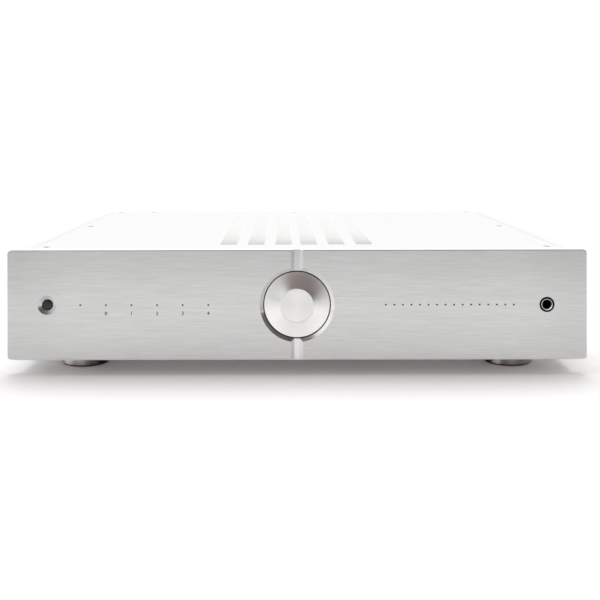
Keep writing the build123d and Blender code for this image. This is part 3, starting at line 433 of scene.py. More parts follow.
def satin(name, base, rough, metallic=1.0, grain=2600.0, warm=0.004, bump=0.12, coat=0.0):
    """Bead-blasted, anodised or satin-lacquered metal: a fine even grain."""
    m = Mat(name, Metallic=metallic, Coat_Weight=coat)
    a = m.noise((grain, grain, grain), 3.0, 0.65)
    b = m.noise((14, 14, 14), 2.0, 0.5)
    f = m.math("MULTIPLY_ADD", m.math("SUBTRACT", a, 0.5), 0.07, 1.0)
    f = m.math("MULTIPLY", f, m.math("MULTIPLY_ADD", m.math("SUBTRACT", b, 0.5), 0.03, 1.0))
    m.put("Base Color", m.scaled(grey(base, warm), f))
    m.put("Roughness", m.math("ADD", m.math("MULTIPLY", m.math("SUBTRACT", a, 0.5), 0.12), rough))
    m.bump(a, bump, 0.00004)
    return m.m


def paint(name, colour, rough=0.45, peel=900.0, bump=0.18, metallic=0.0):
    """Powder coat: orange-peel height and a slight tone drift."""
    m = Mat(name, Metallic=metallic)
    a = m.noise((peel, peel, peel), 2.0, 0.5)
    b = m.noise((20, 20, 20), 3.0, 0.5)
    m.put("Base Color", m.scaled(colour, m.math("MULTIPLY_ADD", m.math("SUBTRACT", b, 0.5), 0.08, 1.0)))
    m.put("Roughness", m.math("ADD", m.math("MULTIPLY", m.math("SUBTRACT", a, 0.5), 0.15), rough))
    m.bump(a, bump, 0.00008)
    return m.m


def plastic(name, colour, rough=0.4, grain=2200.0, bump=0.15, coat=0.0, transmission=0.0):
    """Moulded plastic with a fine spark-eroded grain and faint wear variation."""
    m = Mat(name, Coat_Weight=coat, Transmission_Weight=transmission)
    a = m.noise((grain, grain, grain), 2.0, 0.6)
    b = m.noise((45, 45, 45), 3.0, 0.55)
    m.put("Base Color", m.scaled(colour, m.math("MULTIPLY_ADD", m.math("SUBTRACT", b, 0.5), 0.22, 1.0)))
    m.put("Roughness", m.math("ADD", m.math("MULTIPLY", m.math("SUBTRACT", a, 0.5), 0.18), rough))
    m.bump(a, bump, 0.00004)
    return m.m


def plated(name, colour, rough=0.15, wear=0.06):
    """Plated or polished metal with light handling marks."""
    m = Mat(name, Metallic=1.0)
    a = m.noise((260, 260, 260), 4.0, 0.6)
    b = m.noise((1800, 1800, 1800), 2.0, 0.5)
    m.put("Base Color", m.scaled(colour, m.math("MULTIPLY_ADD", m.math("SUBTRACT", a, 0.5), 0.10, 1.0)))
    m.put("Roughness", m.math("ADD", m.math("MULTIPLY", m.math("SUBTRACT", a, 0.5), wear * 3), rough))
    m.bump(b, 0.05, 0.00002)
    return m.m


def galvanised(name):
    m = Mat(name, Metallic=1.0)
    v = m.voronoi((160, 160, 160), out="Color")
    s = m.xyz(v)[0]
    n = m.noise((1500, 1500, 1500), 2.0)
    m.put("Base Color", m.scaled((0.62, 0.63, 0.63, 1), m.math("MULTIPLY_ADD", m.math("SUBTRACT", s, 0.5), 0.20, 1.0)))
    m.put("Roughness", m.math("MULTIPLY_ADD", s, 0.16, 0.34))
    m.bump(n, 0.06, 0.00003)
    return m.m


def board(name):
    """Solder mask over copper tracks: the tracks show as slightly lighter, raised paths."""
    m = Mat(name, Coat_Weight=0.3, Coat_Roughness=0.2)
    c = m.coord()
    v = m.n("Mapping", inp={"Vector": c, "Scale": (210, 210, 210)}).outputs[0]
    vor = m.n("TexVoronoi", feature="DISTANCE_TO_EDGE", inp={"Vector": v, "Scale": 1.0, "Randomness": 0.55}).outputs["Distance"]
    track = m.remap(vor, 0.05, 0.09, 1.0, 0.0, True)
    big = m.noise((40, 40, 40), 2.0)
    plane = m.remap(big, 0.50, 0.54, 0.0, 1.0, True)
    t = m.math("MAXIMUM", track, plane)
    col = m.mix(t, (0.006, 0.060, 0.026, 1), (0.018, 0.125, 0.050, 1))
    m.put("Base Color", col)
    m.put("Roughness", 0.32)
    m.bump(t, 0.25, 0.00005)
    return m.m


M = {}
KC = P(0, 0, ZC)
# front panel: brushed finish with a painted reflection band across its middle height
M["panel"] = brushed("panel_brushed", 0.575, 0.34, "x", warm=0.0, aniso=0.65, var=0.13, fine=2700.0, tint=(0.988, 1.0, 0.994), painted_sheen=0.075)
# panel's chamfers and rims: a lighter painted-highlight copy of the panel finish
M["panel_edge"] = brushed("panel_edge_painted_highlight", 0.97, 0.36, "x", warm=0.0, aniso=0.4, var=0.05)
# groove floor: painted floor reflection, lighter towards the bottom
M["groove"] = milled("groove_milled_painted_floor_light", 0.53, 0.20, warm=0.0, painted_bottom_sheen=1.38)
# groove walls: a darker painted-shade copy of the groove finish for the left wall, a lighter painted-light copy for
# the right wall
M["groove_left"] = milled("groove_left_painted_shade", 0.38, 0.16, warm=0.0, painted_bottom_sheen=1.5)
M["groove_right"] = milled("groove_right_painted_light", 0.56, 0.16, warm=0.0, painted_bottom_sheen=1.36)
# sloping ring round the knob: the angle stops paint light and shade sectors, a painted reflection fixed in the world
M["recess"] = turned("recess_turned_painted_light", 0.90, 0.10, KC, aniso=0.3, var=0.03, metallic=0.92, shade=[
    (0.00, 0.60), (0.042, 0.76), (0.083, 0.82), (0.167, 0.84), (0.25, 0.82), (0.29, 0.94), (0.333, 1.06), (0.417, 1.06), (0.458, 0.94), (0.50, 0.60),
    (0.542, 0.42), (0.583, 0.85), (0.625, 1.10), (0.70, 1.15), (0.716, 0.80), (0.729, 0.40), (0.742, 0.44), (0.753, 0.50), (0.79, 0.54), (0.833, 0.64), (0.875, 0.70), (0.958, 0.70), (1.00, 0.60)])
# hollow round the knob: painted shadow, darkest at the top and upper left
M["pocket"] = turned("pocket_painted_shadow", 0.32, 0.45, KC, aniso=0.3, var=0.05, shade=[
    (0.0, 0.10), (0.12, 0.18), (0.20, 0.60), (0.42, 0.80), (0.55, 1.0), (0.70, 1.0), (0.78, 0.45), (0.86, 0.06), (1.0, 0.10)])
# knob face: the angle stops paint darker sectors at the left and right and lighter ones elsewhere, a painted
# reflection fixed in the world
M["knob"] = turned("knob_turned", 0.95, 0.22, KC, aniso=0.45, var=0.035, bump=0.06, shade=[
    (0.0, 1.03), (0.083, 1.05), (0.125, 1.05), (0.167, 0.92), (0.208, 0.70), (0.25, 0.74), (0.292, 0.86), (0.333, 0.91), (0.375, 0.97), (0.417, 1.02), (0.50, 1.03),
    (0.583, 0.98), (0.667, 0.93), (0.708, 0.88), (0.75, 0.76), (0.792, 0.77), (0.833, 0.99), (0.875, 1.05), (0.90, 1.05), (0.92, 0.98), (0.958, 0.95), (1.0, 1.03)])
# knob's outer wall: dark painted shadow, darkest at the top and upper left
M["knob_side"] = turned("knob_side_painted_shadow", 0.25, 0.40, KC, aniso=0.3, var=0.04, bump=0.06, shade=[
    (0.0, 0.35), (0.10, 0.25), (0.20, 0.45), (0.30, 1.0), (0.70, 1.0), (0.78, 0.40), (0.86, 0.10), (0.96, 0.12), (1.0, 0.35)])
M["knob_disc"] = turned("knob_disc_turned", 0.81, 0.34, KC, aniso=0.35, var=0.03, bump=0.06)
M["cover"] = satin("cover_satin", 0.86, 0.36, 1.0, grain=2400, warm=0.003)
M["side"] = satin("side_satin", 0.78, 0.40, 1.0, grain=2200, warm=0.005)
# side panels' inner step faces and edge bevels: a dark painted-shade copy of the side finish
M["side_step"] = satin("side_step_painted_shade", 0.20, 0.45, 1.0, grain=2200, warm=0.0)
M["sheet"] = galvanised("sheet_zinc")
M["rear"] = paint("rear_powder", (0.60, 0.60, 0.595, 1), 0.42, 1100, 0.2, 0.55)
M["rubber"] = plastic("foot_rubber", (0.022, 0.021, 0.020, 1), 0.75, 900, 0.35)
M["zinc_screw"] = plated("zinc_screw", (0.55, 0.55, 0.56, 1), 0.28)
M["cover_screw"] = plated("cover_screw", (0.34, 0.335, 0.33, 1), 0.22)
M["steel_screw"] = plated("steel_screw", (0.66, 0.655, 0.65, 1), 0.26)
M["black_screw"] = plated("black_screw", (0.05, 0.05, 0.052, 1), 0.35)
M["brass"] = plated("brass_turned", (0.78, 0.58, 0.27, 1), 0.22)
M["steel"] = plated("bright_steel", (0.60, 0.60, 0.60, 1), 0.24)
M["chrome"] = plated("chrome_plate", (0.84, 0.84, 0.84, 1), 0.07, 0.02)
M["black"] = plastic("black_moulded", (0.020, 0.020, 0.021, 1), 0.48)
M["gloss_black"] = plastic("gloss_black", (0.010, 0.010, 0.011, 1), 0.16, 1500, 0.04, 0.5)
M["ir_lens"] = plastic("infrared_lens", (0.008, 0.006, 0.007, 1), 0.26, 1500, 0.03)
M["led"] = plastic("led_epoxy", (0.012, 0.012, 0.014, 1), 0.45, 900, 0.03)
M["deep_black"] = plastic("collar_black", (0.004, 0.004, 0.0042, 1), 0.62, 1500, 0.03)
M["deep_black"].node_tree.nodes["Principled BSDF"].inputs["Specular IOR Level"].default_value = 0.12
FC = tuple((a_ + b_) / 2 for a_, b_ in zip(*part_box("headphone_ferrule")))
# headphone ferrule: painted highlight at the lower right, painted shade towards the upper left
M["ferrule"] = turned("ferrule_painted_highlight", 0.62, 0.15, FC, warm=0.0, aniso=0.2, var=0.03, bump=0.02, shade=[
    (0.0, 0.62), (0.15, 0.50), (0.28, 0.60), (0.36, 1.45), (0.44, 1.60), (0.52, 1.2), (0.60, 0.75), (0.80, 0.58), (1.0, 0.62)])
M["lens"] = plastic("indicator_lens", (0.0055, 0.0055, 0.006, 1), 0.38, 1500, 0.03)
# walls of the indicator holes: nearly black, a painted shade
M["bore"] = satin("bore_painted_shade", 0.02, 0.6, 0.4, grain=2600)
M["pcb"] = board("solder_mask")
M["gold"] = plated("gold_plate", (0.83, 0.61, 0.25, 1), 0.16)
M["nylon_white"] = plastic("nylon_white", (0.72, 0.71, 0.68, 1), 0.35, 1500, 0.06)
M["nylon_red"] = plastic("nylon_red", (0.42, 0.012, 0.012, 1), 0.30, 1500, 0.06, 0.2)
M["nylon_black"] = plastic("nylon_black", (0.016, 0.016, 0.017, 1), 0.32, 1500, 0.06, 0.2)
M["cap_red"] = plastic("cap_red", (0.50, 0.012, 0.010, 1), 0.18, 1300, 0.04, 0.5, 0.15)
M["cap_black"] = plastic("cap_black", (0.014, 0.014, 0.015, 1), 0.18, 1300, 0.04, 0.5)
M["epoxy"] = plastic("moulded_epoxy", (0.026, 0.026, 0.028, 1), 0.55, 1200, 0.2)
M["sleeve"] = plastic("capacitor_sleeve", (0.018, 0.022, 0.045, 1), 0.28, 700, 0.06, 0.3)
M["can"] = satin("capacitor_can", 0.72, 0.30, 1.0, grain=1200)
M["sink"] = satin("sink_anodised", 0.035, 0.42, 0.85, grain=1600, warm=0.0)
M["film"] = None
M["cable_black"] = plastic("cable_black", (0.018, 0.018, 0.018, 1), 0.42, 900, 0.08)
M["cable_red"] = plastic("cable_red", (0.42, 0.012, 0.010, 1), 0.42, 900, 0.08)
M["cable_blue"] = plastic("cable_blue", (0.015, 0.05, 0.28, 1), 0.42, 900, 0.08)
M["cable_white"] = plastic("cable_white", (0.62, 0.61, 0.58, 1), 0.42, 900, 0.08)
M["ink"] = plastic("print_ink", (0.020, 0.019, 0.018, 1), 0.55, 2500, 0.05)
M["white_ink"] = plastic("print_white", (0.70, 0.70, 0.69, 1), 0.55, 2500, 0.05)
M["ceramic"] = plastic("resistor_body", (0.33, 0.23, 0.13, 1), 0.42, 900, 0.06)
M["blue_body"] = plastic("metal_film_blue", (0.03, 0.12, 0.30, 1), 0.38, 900, 0.06)
M["red_box"] = plastic("film_box_red", (0.40, 0.025, 0.018, 1), 0.35, 900, 0.06)
M["solder"] = plated("solder", (0.66, 0.66, 0.64, 1), 0.30)
M["copper"] = plated("enamel_copper", (0.62, 0.25, 0.10, 1), 0.26)


def film():
    """Polyester film wound round a ring: overlapping bands that run through the hole."""
    lo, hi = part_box("toroidal_transformer")
    c = (lo + hi) / 2
    m = Mat("winding_film", Coat_Weight=0.6, Coat_Roughness=0.15)
    s = m.xyz(m.n("VectorMath", operation="SUBTRACT", inp={0: m.coord(), 1: tuple(c)}).outputs[0])
    ang = m.math("ARCTAN2", s[1], s[0])
    wob = m.math("MULTIPLY", m.noise((35, 35, 35), 2.0), 0.8)
    u = m.math("FRACT", m.math("ADD", m.math("MULTIPLY", ang, 46 / (2 * math.pi)), wob))
    edge = m.remap(u, 0.0, 0.12, 1.0, 0.0, True)
    wire = m.math("SINE", m.math("MULTIPLY", ang, 620.0))
    col = m.mix(m.math("MULTIPLY_ADD", wire, 0.25, 0.5), (0.34, 0.16, 0.045, 1), (0.58, 0.32, 0.09, 1))
    col = m.mix(m.math("MULTIPLY", edge, 0.6), col, (0.80, 0.60, 0.26, 1))
    m.put("Base Color", col)
    m.put("Roughness", m.remap(u, 0, 1, 0.20, 0.34))
    m.bump(m.math("ADD", m.math("MULTIPLY", u, 0.8), m.math("MULTIPLY", wire, 0.12)), 0.55, 0.0006)
    return m.m


M["film"] = film()


def glass():
    m = Mat("fuse_glass", Transmission_Weight=1.0, IOR=1.47)
    m.put("Base Color", m.scaled((0.95, 0.98, 0.98, 1), m.math("MULTIPLY_ADD", m.noise((120, 120, 120)), 0.04, 0.97)))
    m.put("Roughness", 0.05)
    return m.m


M["glass"] = glass()


def cover_cut():
    """Edges of the slots in the cover: bright cut metal with a painted glow, fading to painted shade towards the
    front, lightest towards the rear.
    """
    m = Mat("cover_cut", Metallic=0.6, Roughness=0.4)
    g = m.noise((900, 900, 900), 2.0)
    y = m.xyz()[1]
    m.put("Base Color", m.scaled(grey(0.86), m.math("MULTIPLY_ADD", m.math("SUBTRACT", g, 0.5), 0.10, 1.0)))
    # painted shade: the glow dies away towards the front of the cover
    painted_front_shade = m.math("EXPONENT", m.math("DIVIDE", m.math("SUBTRACT", PF + 0.038, y), 0.036))
    m.put("Emission Color", (1.0, 1.0, 0.985, 1))
    m.put("Emission Strength", m.math("MULTIPLY", m.math("SUBTRACT", 1.0, painted_front_shade), 0.61))
    return m.m


M["cover_cut"] = cover_cut()

# --------------------------------------------------------------------------
# The CAD nodes keep their shapes: they get a material, and the listed ones fine edge bevels.
# --------------------------------------------------------------------------
node_mat = {
    "front_panel": "panel", "inner_front_plate": "sheet", "side_panel_left": "side", "side_panel_right": "side", "top_cover": "cover",
    "cover_screws": "cover_screw", "rear_panel": "rear", "base_plate": "sheet", "foot_bodies": "steel", "foot_pads": "rubber",
    "chassis_fasteners": "zinc_screw", "volume_knob": "knob", "knob_insert": "brass", "encoder_shaft": "steel", "encoder_rotor": "black",
    "encoder_body": "steel", "encoder_bracket": "sheet", "infrared_window": "ir_lens", "infrared_receiver": "epoxy", "indicator_leds": "led",
    "indicator_boards": "pcb", "headphone_ferrule": "ferrule", "headphone_socket": "deep_black", "mains_inlet": "black", "fuse_drawer": "black",
    "mains_fuse": "glass", "power_switch_frame": "black", "power_rocker": "gloss_black", "xlr_sockets": "steel", "xlr_latch_left": "chrome",
    "xlr_latch_right": "chrome", "rca_shells": "gold", "rca_insulators": "nylon_white", "rca_contacts": "gold", "connector_nuts": "steel",
    "earth_stud": "chrome", "earth_washer": "chrome", "earth_nut": "chrome", "speaker_studs": "gold", "speaker_collars": "nylon_black",
    "toroidal_transformer": "film", "transformer_pads": "rubber", "transformer_clamp": "steel", "supply_board": "pcb", "preamplifier_board": "pcb",
    "amplifier_boards": "pcb", "input_board": "pcb", "board_pillars": "brass", "reservoir_capacitors": "sleeve", "power_semiconductors": "epoxy",
    "heat_sinks": "sink", "wiring_looms": "cable_black",
}
for n in NODES:
    if n.startswith("washer_"):
        node_mat[n] = "gold"
    elif n.startswith("cap_"):
        node_mat[n] = "cap_red" if "plus" in n else "cap_black"
bevels = {
    "top_cover": 0.18, "side_panel_left": 0.15, "side_panel_right": 0.15, "rear_panel": 0.15, "base_plate": 0.15, "inner_front_plate": 0.15,
    "mains_inlet": 0.2, "fuse_drawer": 0.2, "power_switch_frame": 0.2, "power_rocker": 0.3, "xlr_sockets": 0.15, "heat_sinks": 0.15,
    "power_semiconductors": 0.2, "earth_nut": 0.12, "headphone_ferrule": 0.08, "headphone_socket": 0.15, "chassis_fasteners": 0.08,
    "foot_bodies": 0.2, "cover_screws": 0.06, "front_panel": 0.12,
}
for n, o in NODES.items():
    me = o.data
    me.materials.clear()
    me.materials.append(M[node_mat[n]])
    me.polygons.foreach_set("material_index", [0] * len(me.polygons))


def crisp(n, width, limit=38):
    """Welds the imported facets, rounds their sharp edges (over limit degrees) by width and shades the curved ones smooth."""
    o = NODES[n]
    w = o.modifiers.new("weld", "WELD")
    w.merge_threshold = 0.000002
    d = o.modifiers.new("flat", "DECIMATE")
    d.decimate_type = "DISSOLVE"
    d.angle_limit = math.radians(0.4)
    d.delimit = {"MATERIAL"}
    if width:
        b = o.modifiers.new("edge", "BEVEL")
        b.width = width / 1000
        b.segments = 2
        b.limit_method = "ANGLE"
        b.angle_limit = math.radians(limit)
        b.use_clamp_overlap = True
        # edge bevels of the side panels take the dark painted-shade step material
        if n.startswith("side_panel"):
            b.material = 1
        wn_ = o.modifiers.new("normals", "WEIGHTED_NORMAL")
        wn_.mode = "FACE_AREA"
        wn_.weight = 50


def paint_faces(node, mat_name, test):
    """Gives the faces of a CAD node whose (centre mm, normal) passes test another material."""
    me = NODES[node].data
    me.materials.append(M[mat_name])
    k = len(me.materials) - 1
    for p in me.polygons:
        c = (p.center.x * 1000, (p.center.y - PF) * 1000, p.center.z * 1000)
        if test(c, p.normal):
            p.material_index = k


# --------------------------------------------------------------------------
# Camera, floor and light
# --------------------------------------------------------------------------
cam_data = bpy.data.cameras.new("camera")
cam = bpy.data.objects.new("camera", cam_data)
scene.collection.objects.link(cam)
scene.camera = cam
cam_data.lens, cam_data.sensor_width = 57.0, 36.0
cam_data.clip_start, cam_data.clip_end = 0.02, 60
cam.location = P(-6.9, -727.6, 183.9)
cam.rotation_euler = (math.radians(90), 0.0017, 0)
# The lens shift belongs to this camera place only; from anywhere else it is zero.
for prop, value in (("shift_x", 0.0204), ("shift_y", -0.2751)):
    d = cam_data.driver_add(prop).driver
    d.type = "SCRIPTED"
    v = d.variables.new()
    v.name = "y"
    v.type = "SINGLE_PROP"
    v.targets[0].id = cam
    v.targets[0].data_path = "location[1]"
    d.expression = f"{value} if abs(y - ({cam.location.y:.6f})) < 0.0005 else 0.0"

floor_m = Mat("floor_white", Roughness=0.9, Specular_IOR_Level=0.1)
floor_m.put("Base Color", floor_m.scaled((0.93, 0.93, 0.93, 1), floor_m.math("MULTIPLY_ADD", floor_m.noise((30, 30, 30)), 0.01, 0.995)))
# the floor glows: a faint pink painted light beside the object lifts the shadow under it, rising further behind so the
# distant floor stays evenly white
floor_m.put("Emission Color", (1.0, 0.88, 0.89, 1))
floor_glow = floor_m.remap(floor_m.xyz(floor_m.n("NewGeometry").outputs["Position"])[1], 0.35, 1.6, 0.085, 0.75, True)
floor_m.put("Emission Strength", floor_glow)
bm = bmesh.new()
bmesh.ops.create_grid(bm, x_segments=2, y_segments=2, size=14.0)
me = bpy.data.meshes.new("floor")
bm.to_mesh(me)
bm.free()
floor = bpy.data.objects.new("floor", me)
floor.data.materials.append(floor_m.m)
floor.location = (0, 4.0, -0.0002)
scene.collection.objects.link(floor)

world = bpy.data.worlds.new("studio")
scene.world = world
world.use_nodes = True
wt = world.node_tree


def wn(kind, **kw):
    node = wt.nodes.new("ShaderNode" + kind)
    for k, v in kw.items():
        if k == "inp":
            for a, b in v.items():
                if hasattr(b, "is_output"):
                    wt.links.new(b, node.inputs[a])
                else:
                    node.inputs[a].default_value = b
        else:
            setattr(node, k, v)
    return node


def studio(base, patches, seen):
    """A grey studio: base tone everywhere, then soft round patches (azimuth from the front, + to the right; elevation;
    inner and outer radius in degrees; colour). The camera itself sees the plain backdrop tone."""
    wt.nodes.clear()
    dirn = wn("VectorMath", operation="NORMALIZE", inp={0: wn("TexCoord").outputs["Generated"]}).outputs[0]

    def mix(fac, a, b):
        node = wn("Mix", data_type="RGBA", clamp_result=False)
        for i, v in ((0, fac), (6, a), (7, b)):
            if hasattr(v, "is_output"):
                wt.links.new(v, node.inputs[i])
            else:
                node.inputs[i].default_value = v
        return node.outputs[2]

    c = (*base, 1)
    for az, el, inner, outer, colour in patches:
        a, e = math.radians(az), math.radians(el)
        v = (math.sin(a) * math.cos(e), -math.cos(a) * math.cos(e), math.sin(e))
        dot = wn("VectorMath", operation="DOT_PRODUCT", inp={0: dirn, 1: v}).outputs["Value"]
        fac = wn("MapRange", interpolation_type="SMOOTHSTEP", inp={"Value": dot, "From Min": math.cos(math.radians(outer)), "From Max": math.cos(math.radians(inner)),
                                                                   "To Min": 0.0, "To Max": 1.0}).outputs[0]
        c = mix(fac, c, (*colour, 1))
    c = mix(wn("LightPath").outputs["Is Camera Ray"], c, (*seen, 1))
    bg = wn("Background", inp={"Color": c, "Strength": 1.0})
    wn("OutputWorld", inp={"Surface": bg.outputs[0]})


studio((1.14, 1.14, 1.14), [
    (0, 0, 60, 112, (0.565, 0.57, 0.563)),
    (-75, 14, 20, 55, (0.95, 0.95, 0.95)),
    (25, 45, 33, 50, (0.21, 0.178, 0.170)),
    (60, 24, 16, 38, (0.09, 0.079, 0.076)),
], (1.02, 1.02, 1.02))


def area(name, loc, target, size, power, colour=(1, 1, 1)):
    d = bpy.data.lights.new(name, "AREA")
    d.shape = "RECTANGLE"
    d.size, d.size_y = size
    d.energy = power
    d.color = colour
    o = bpy.data.objects.new(name, d)
    o.location = loc
    o.rotation_euler = (Vector(target) - Vector(loc)).to_track_quat("-Z", "Y").to_euler()
    scene.collection.objects.link(o)
    o.visible_camera = False
    return o


# The overhead box lights the floor and matt parts only; metal mirrors the studio round it.
area("top_box", (0.0, 0.40, 2.2), (0, 0.10, 0), (1.9, 2.0), 31).visible_glossy = False

scene.view_settings.view_transform = "Standard"
scene.view_settings.look = "None"
scene.view_settings.exposure = 0.0
scene.view_settings.gamma = 1.0

# --------------------------------------------------------------------------
# Volume knob: one turned piece, flat centre disc, dished ring, bevelled rim
# --------------------------------------------------------------------------
klo, khi = mm_box("volume_knob")
KR = (khi[0] - klo[0]) / 2
KF = klo[1]                     # y of the flat centre


def hermite(p0, p1, t0, t1, n):
    out = []
    for i in range(n + 1):
        t = i / n
        a, b = 2 * t ** 3 - 3 * t ** 2 + 1, t ** 3 - 2 * t ** 2 + t
        c_, d_ = -2 * t ** 3 + 3 * t ** 2, t ** 3 - t ** 2
        out.append(tuple(a * u + b * v + c_ * w + d_ * x for u, v, w, x in zip(p0, t0, p1, t1)))
    return out


RIM_Y = 1.9
DISC_R = 12.6
kb = Build()
cove = hermite((KR - 0.40, RIM_Y), (DISC_R + 0.86, KF + 0.44), (-11.4, -2.35), (-11.4, -4.1), 44)
disc = [(DISC_R + 0.74, KF + 0.39), (DISC_R + 0.14, KF + 0.045), (DISC_R + 0.02, KF + 0.008), (DISC_R - 0.12, KF), (DISC_R * 0.66, KF), (DISC_R * 0.33, KF), (0, KF)]
back = [(0, 1.6), (4.5, 1.6), (4.5, khi[1]), (7.8, khi[1]), (8.0, khi[1] - 0.2), (8.0, 3.4), (9.0, 3.0), (21.0, 4.2), (22.0, 6.6), (KR - 0.35, 6.6), (KR, 6.25),
        (KR, RIM_Y + 0.34), (KR - 0.03, RIM_Y + 0.20), (KR - 0.14, RIM_Y + 0.07)]
prof = cove + disc + back
kmats = [0] * len(cove) + [1] * (len(disc) - 1) + [0] * (len(back) + 1)
# the outer wall inside the recess takes the painted-shadow material
for i in (10, 11):              # the outer wall, inside the recess
    kmats[len(cove) + len(disc) + i] = 2
kb.lathe(prof, 256, "Y", (0, 0, ZC), mats=kmats)
knob = kb.obj("volume_knob_turned", [M["knob"], M["knob_disc"], M["knob_side"]], "knob", smooth=24, slot="knob_aluminium", origin=(0, 0, ZC))
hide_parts("volume_knob")

# --------------------------------------------------------------------------
# Feet: turned shells with a lathe finish, rubber ring below
# --------------------------------------------------------------------------
flo, fhi = mm_box("foot_bodies")
FOOT_X = [flo[0] + 20.0, fhi[0] - 20.0]
FOOT_Y = [flo[1] + 20.0, fhi[1] - 20.0]


# foot metal: turned grain with a painted glint
def foot_metal():
    m = Mat("foot_turned_painted_glint", Metallic=1.0)
    z = m.xyz()[2]
    vec = m.n("CombineXYZ", inp={0: 0.0, 1: 0.0, 2: m.math("MULTIPLY", z, 3800.0)}).outputs[0]
    a = m.n("TexNoise", inp={"Vector": vec, "Scale": 1.0, "Detail": 3.0, "Roughness": 0.6}).outputs["Fac"]
    nx, ny, nz = m.xyz(m.n("NewGeometry").outputs["Normal"])
    side_ = m.math("ARCTAN2", nx, m.math("MULTIPLY", ny, -1.0))
    at_ = m.remap(side_, -1.6, 1.6, 0.0, 1.0)
    # painted highlight and shade by the direction the surface faces: a bright glint towards the front left, dark
    # towards the right; the first stops for the left feet, the second for the right feet
    glint_stops_left = [(-1.58, 0.50), (-1.35, 0.36), (-1.07, 0.46), (-0.80, 0.95), (-0.62, 1.69), (-0.45, 1.4), (-0.35, 1.05), (-0.24, 0.92), (-0.08, 1.10), (0.08, 1.05), (0.24, 0.60),
              (0.41, 0.38), (0.60, 0.30), (0.80, 0.05), (1.12, 0.03), (1.35, 0.3), (1.58, 0.50)]
    glint_stops_right = [(-1.58, 0.50), (-1.40, 0.12), (-1.10, 0.08), (-0.92, 0.2), (-0.78, 1.2), (-0.66, 1.69), (-0.55, 1.6), (-0.45, 0.70), (-0.35, 0.53), (-0.26, 0.53), (-0.10, 0.76),
              (0.06, 0.71), (0.22, 0.60), (0.39, 0.56), (0.56, 0.62), (0.76, 0.52), (1.58, 0.50)]
    right = m.math("GREATER_THAN", m.xyz(m.n("NewGeometry").outputs["Position"])[0], 0.0)
    lv, rv = (m.curve(at_, [((a_ + 1.6) / 3.2, v_) for a_, v_ in tt]) for tt in (glint_stops_left, glint_stops_right))
    tone = m.math("ADD", lv, m.math("MULTIPLY", right, m.math("SUBTRACT", rv, lv)))
    tone = m.math("MULTIPLY", tone, m.math("MULTIPLY_ADD", m.math("SUBTRACT", a, 0.5), 0.14, 1.0))
    m.put("Base Color", m.scaled((0.59, 0.56, 0.54, 1), tone))
    m.put("Roughness", m.math("MULTIPLY_ADD", a, 0.10, 0.26))
    m.put("Anisotropic", 0.9)
    m.put("Tangent", m.n("CombineXYZ", inp={0: 0.0, 1: 0.0, 2: 1.0}).outputs[0])
    m.bump(a, 0.12, 0.00003)
    return m.m


M["foot"] = foot_metal()
fb, rb = Build(), Build()
BZ0 = fhi[2]
for fx in FOOT_X:
    for fy in FOOT_Y:
        fb.lathe([(2.7, 5.0), (2.7, BZ0), (19.0, BZ0), (19.6, BZ0 - 0.15), (19.9, BZ0 - 0.45), (20.0, BZ0 - 0.9), (20.0, 9.0), (19.75, 8.8), (19.75, 8.3), (20.0, 8.1),
                  (20.0, 2.6), (19.9, 2.1), (19.5, 1.5), (18.9, 1.2), (18.3, 1.2), (18.3, 2.6), (7.2, 2.6), (6.4, 3.0), (6.4, 5.0)], 128, "Z", (fx, fy, 0))
        rb.lathe([(7.4, 0.3), (7.7, 0.0), (9.6, 0.0), (9.9, 0.35), (10.6, 0.35), (10.9, 0.0), (12.9, 0.0), (13.2, 0.35), (13.9, 0.35), (14.2, 0.0), (17.5, 0.0), (18.0, 0.2),
                  (18.2, 0.6), (18.2, 2.55), (7.4, 2.55)], 96, "Z", (fx, fy, 0))
foot = fb.obj("foot_shells", [M["foot"]], "chassis", smooth=32, slot="foot_aluminium")
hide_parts("foot_bodies")
pads = rb.obj("foot_rings", [M["rubber"]], "chassis", smooth=32, slot="foot_rubber")
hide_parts("foot_pads")

# --------------------------------------------------------------------------
# Print: plain numbers under the input indicators, plain marks at the rear
# --------------------------------------------------------------------------
_prints = {}


def letters(body, size_mm, at, facing, group, mat):
    """A short text, as thin raised ink, centred at a point (mm) on a face that looks towards facing."""
    cu = bpy.data.curves.new("t", "FONT")
    cu.body, cu.size, cu.extrude = body, size_mm / 1000, 0.000012
    cu.align_x, cu.align_y = "CENTER", "CENTER"
    cu.resolution_u = 6
    cu.offset = size_mm * 0.000018
    ob = bpy.data.objects.new("t", cu)
    scene.collection.objects.link(ob)
    if facing == "front":
        ob.matrix_world = Matrix.Translation(P(*at)) @ Matrix.Rotation(math.radians(90), 4, "X")
    elif facing == "rear":
        ob.matrix_world = Matrix.Translation(P(*at)) @ Matrix.Rotation(math.radians(180), 4, "Z") @ Matrix.Rotation(math.radians(90), 4, "X")
    bpy.context.view_layer.update()
    dg = bpy.context.evaluated_depsgraph_get()
    me = bpy.data.meshes.new_from_object(ob.evaluated_get(dg))
    me.transform(ob.matrix_world)
    bpy.data.objects.remove(ob)
    _prints.setdefault((group, mat), []).append(me)


def finish_prints():
    for (group, mat), meshes in _prints.items():
        bm_ = bmesh.new()
        for me_ in meshes:
            bm_.from_mesh(me_)
        bmesh.ops.remove_doubles(bm_, verts=bm_.verts, dist=1e-7)
        me_ = bpy.data.meshes.new(group)
        bm_.to_mesh(me_)
        bm_.free()
        me_.materials.clear()
        me_.materials.append(M[mat])
        me_.polygons.foreach_set("material_index", [0] * len(me_.polygons))
        ob = bpy.data.objects.new(group, me_)
        scene.collection.objects.link(ob)
        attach(ob, "chassis")


for i in range(5):
    x = -146.4 + 19.6 * i
    letters(str(i), 3.7, (x, -0.011, ZC - 6.5), "front", "input_numbers", "ink")

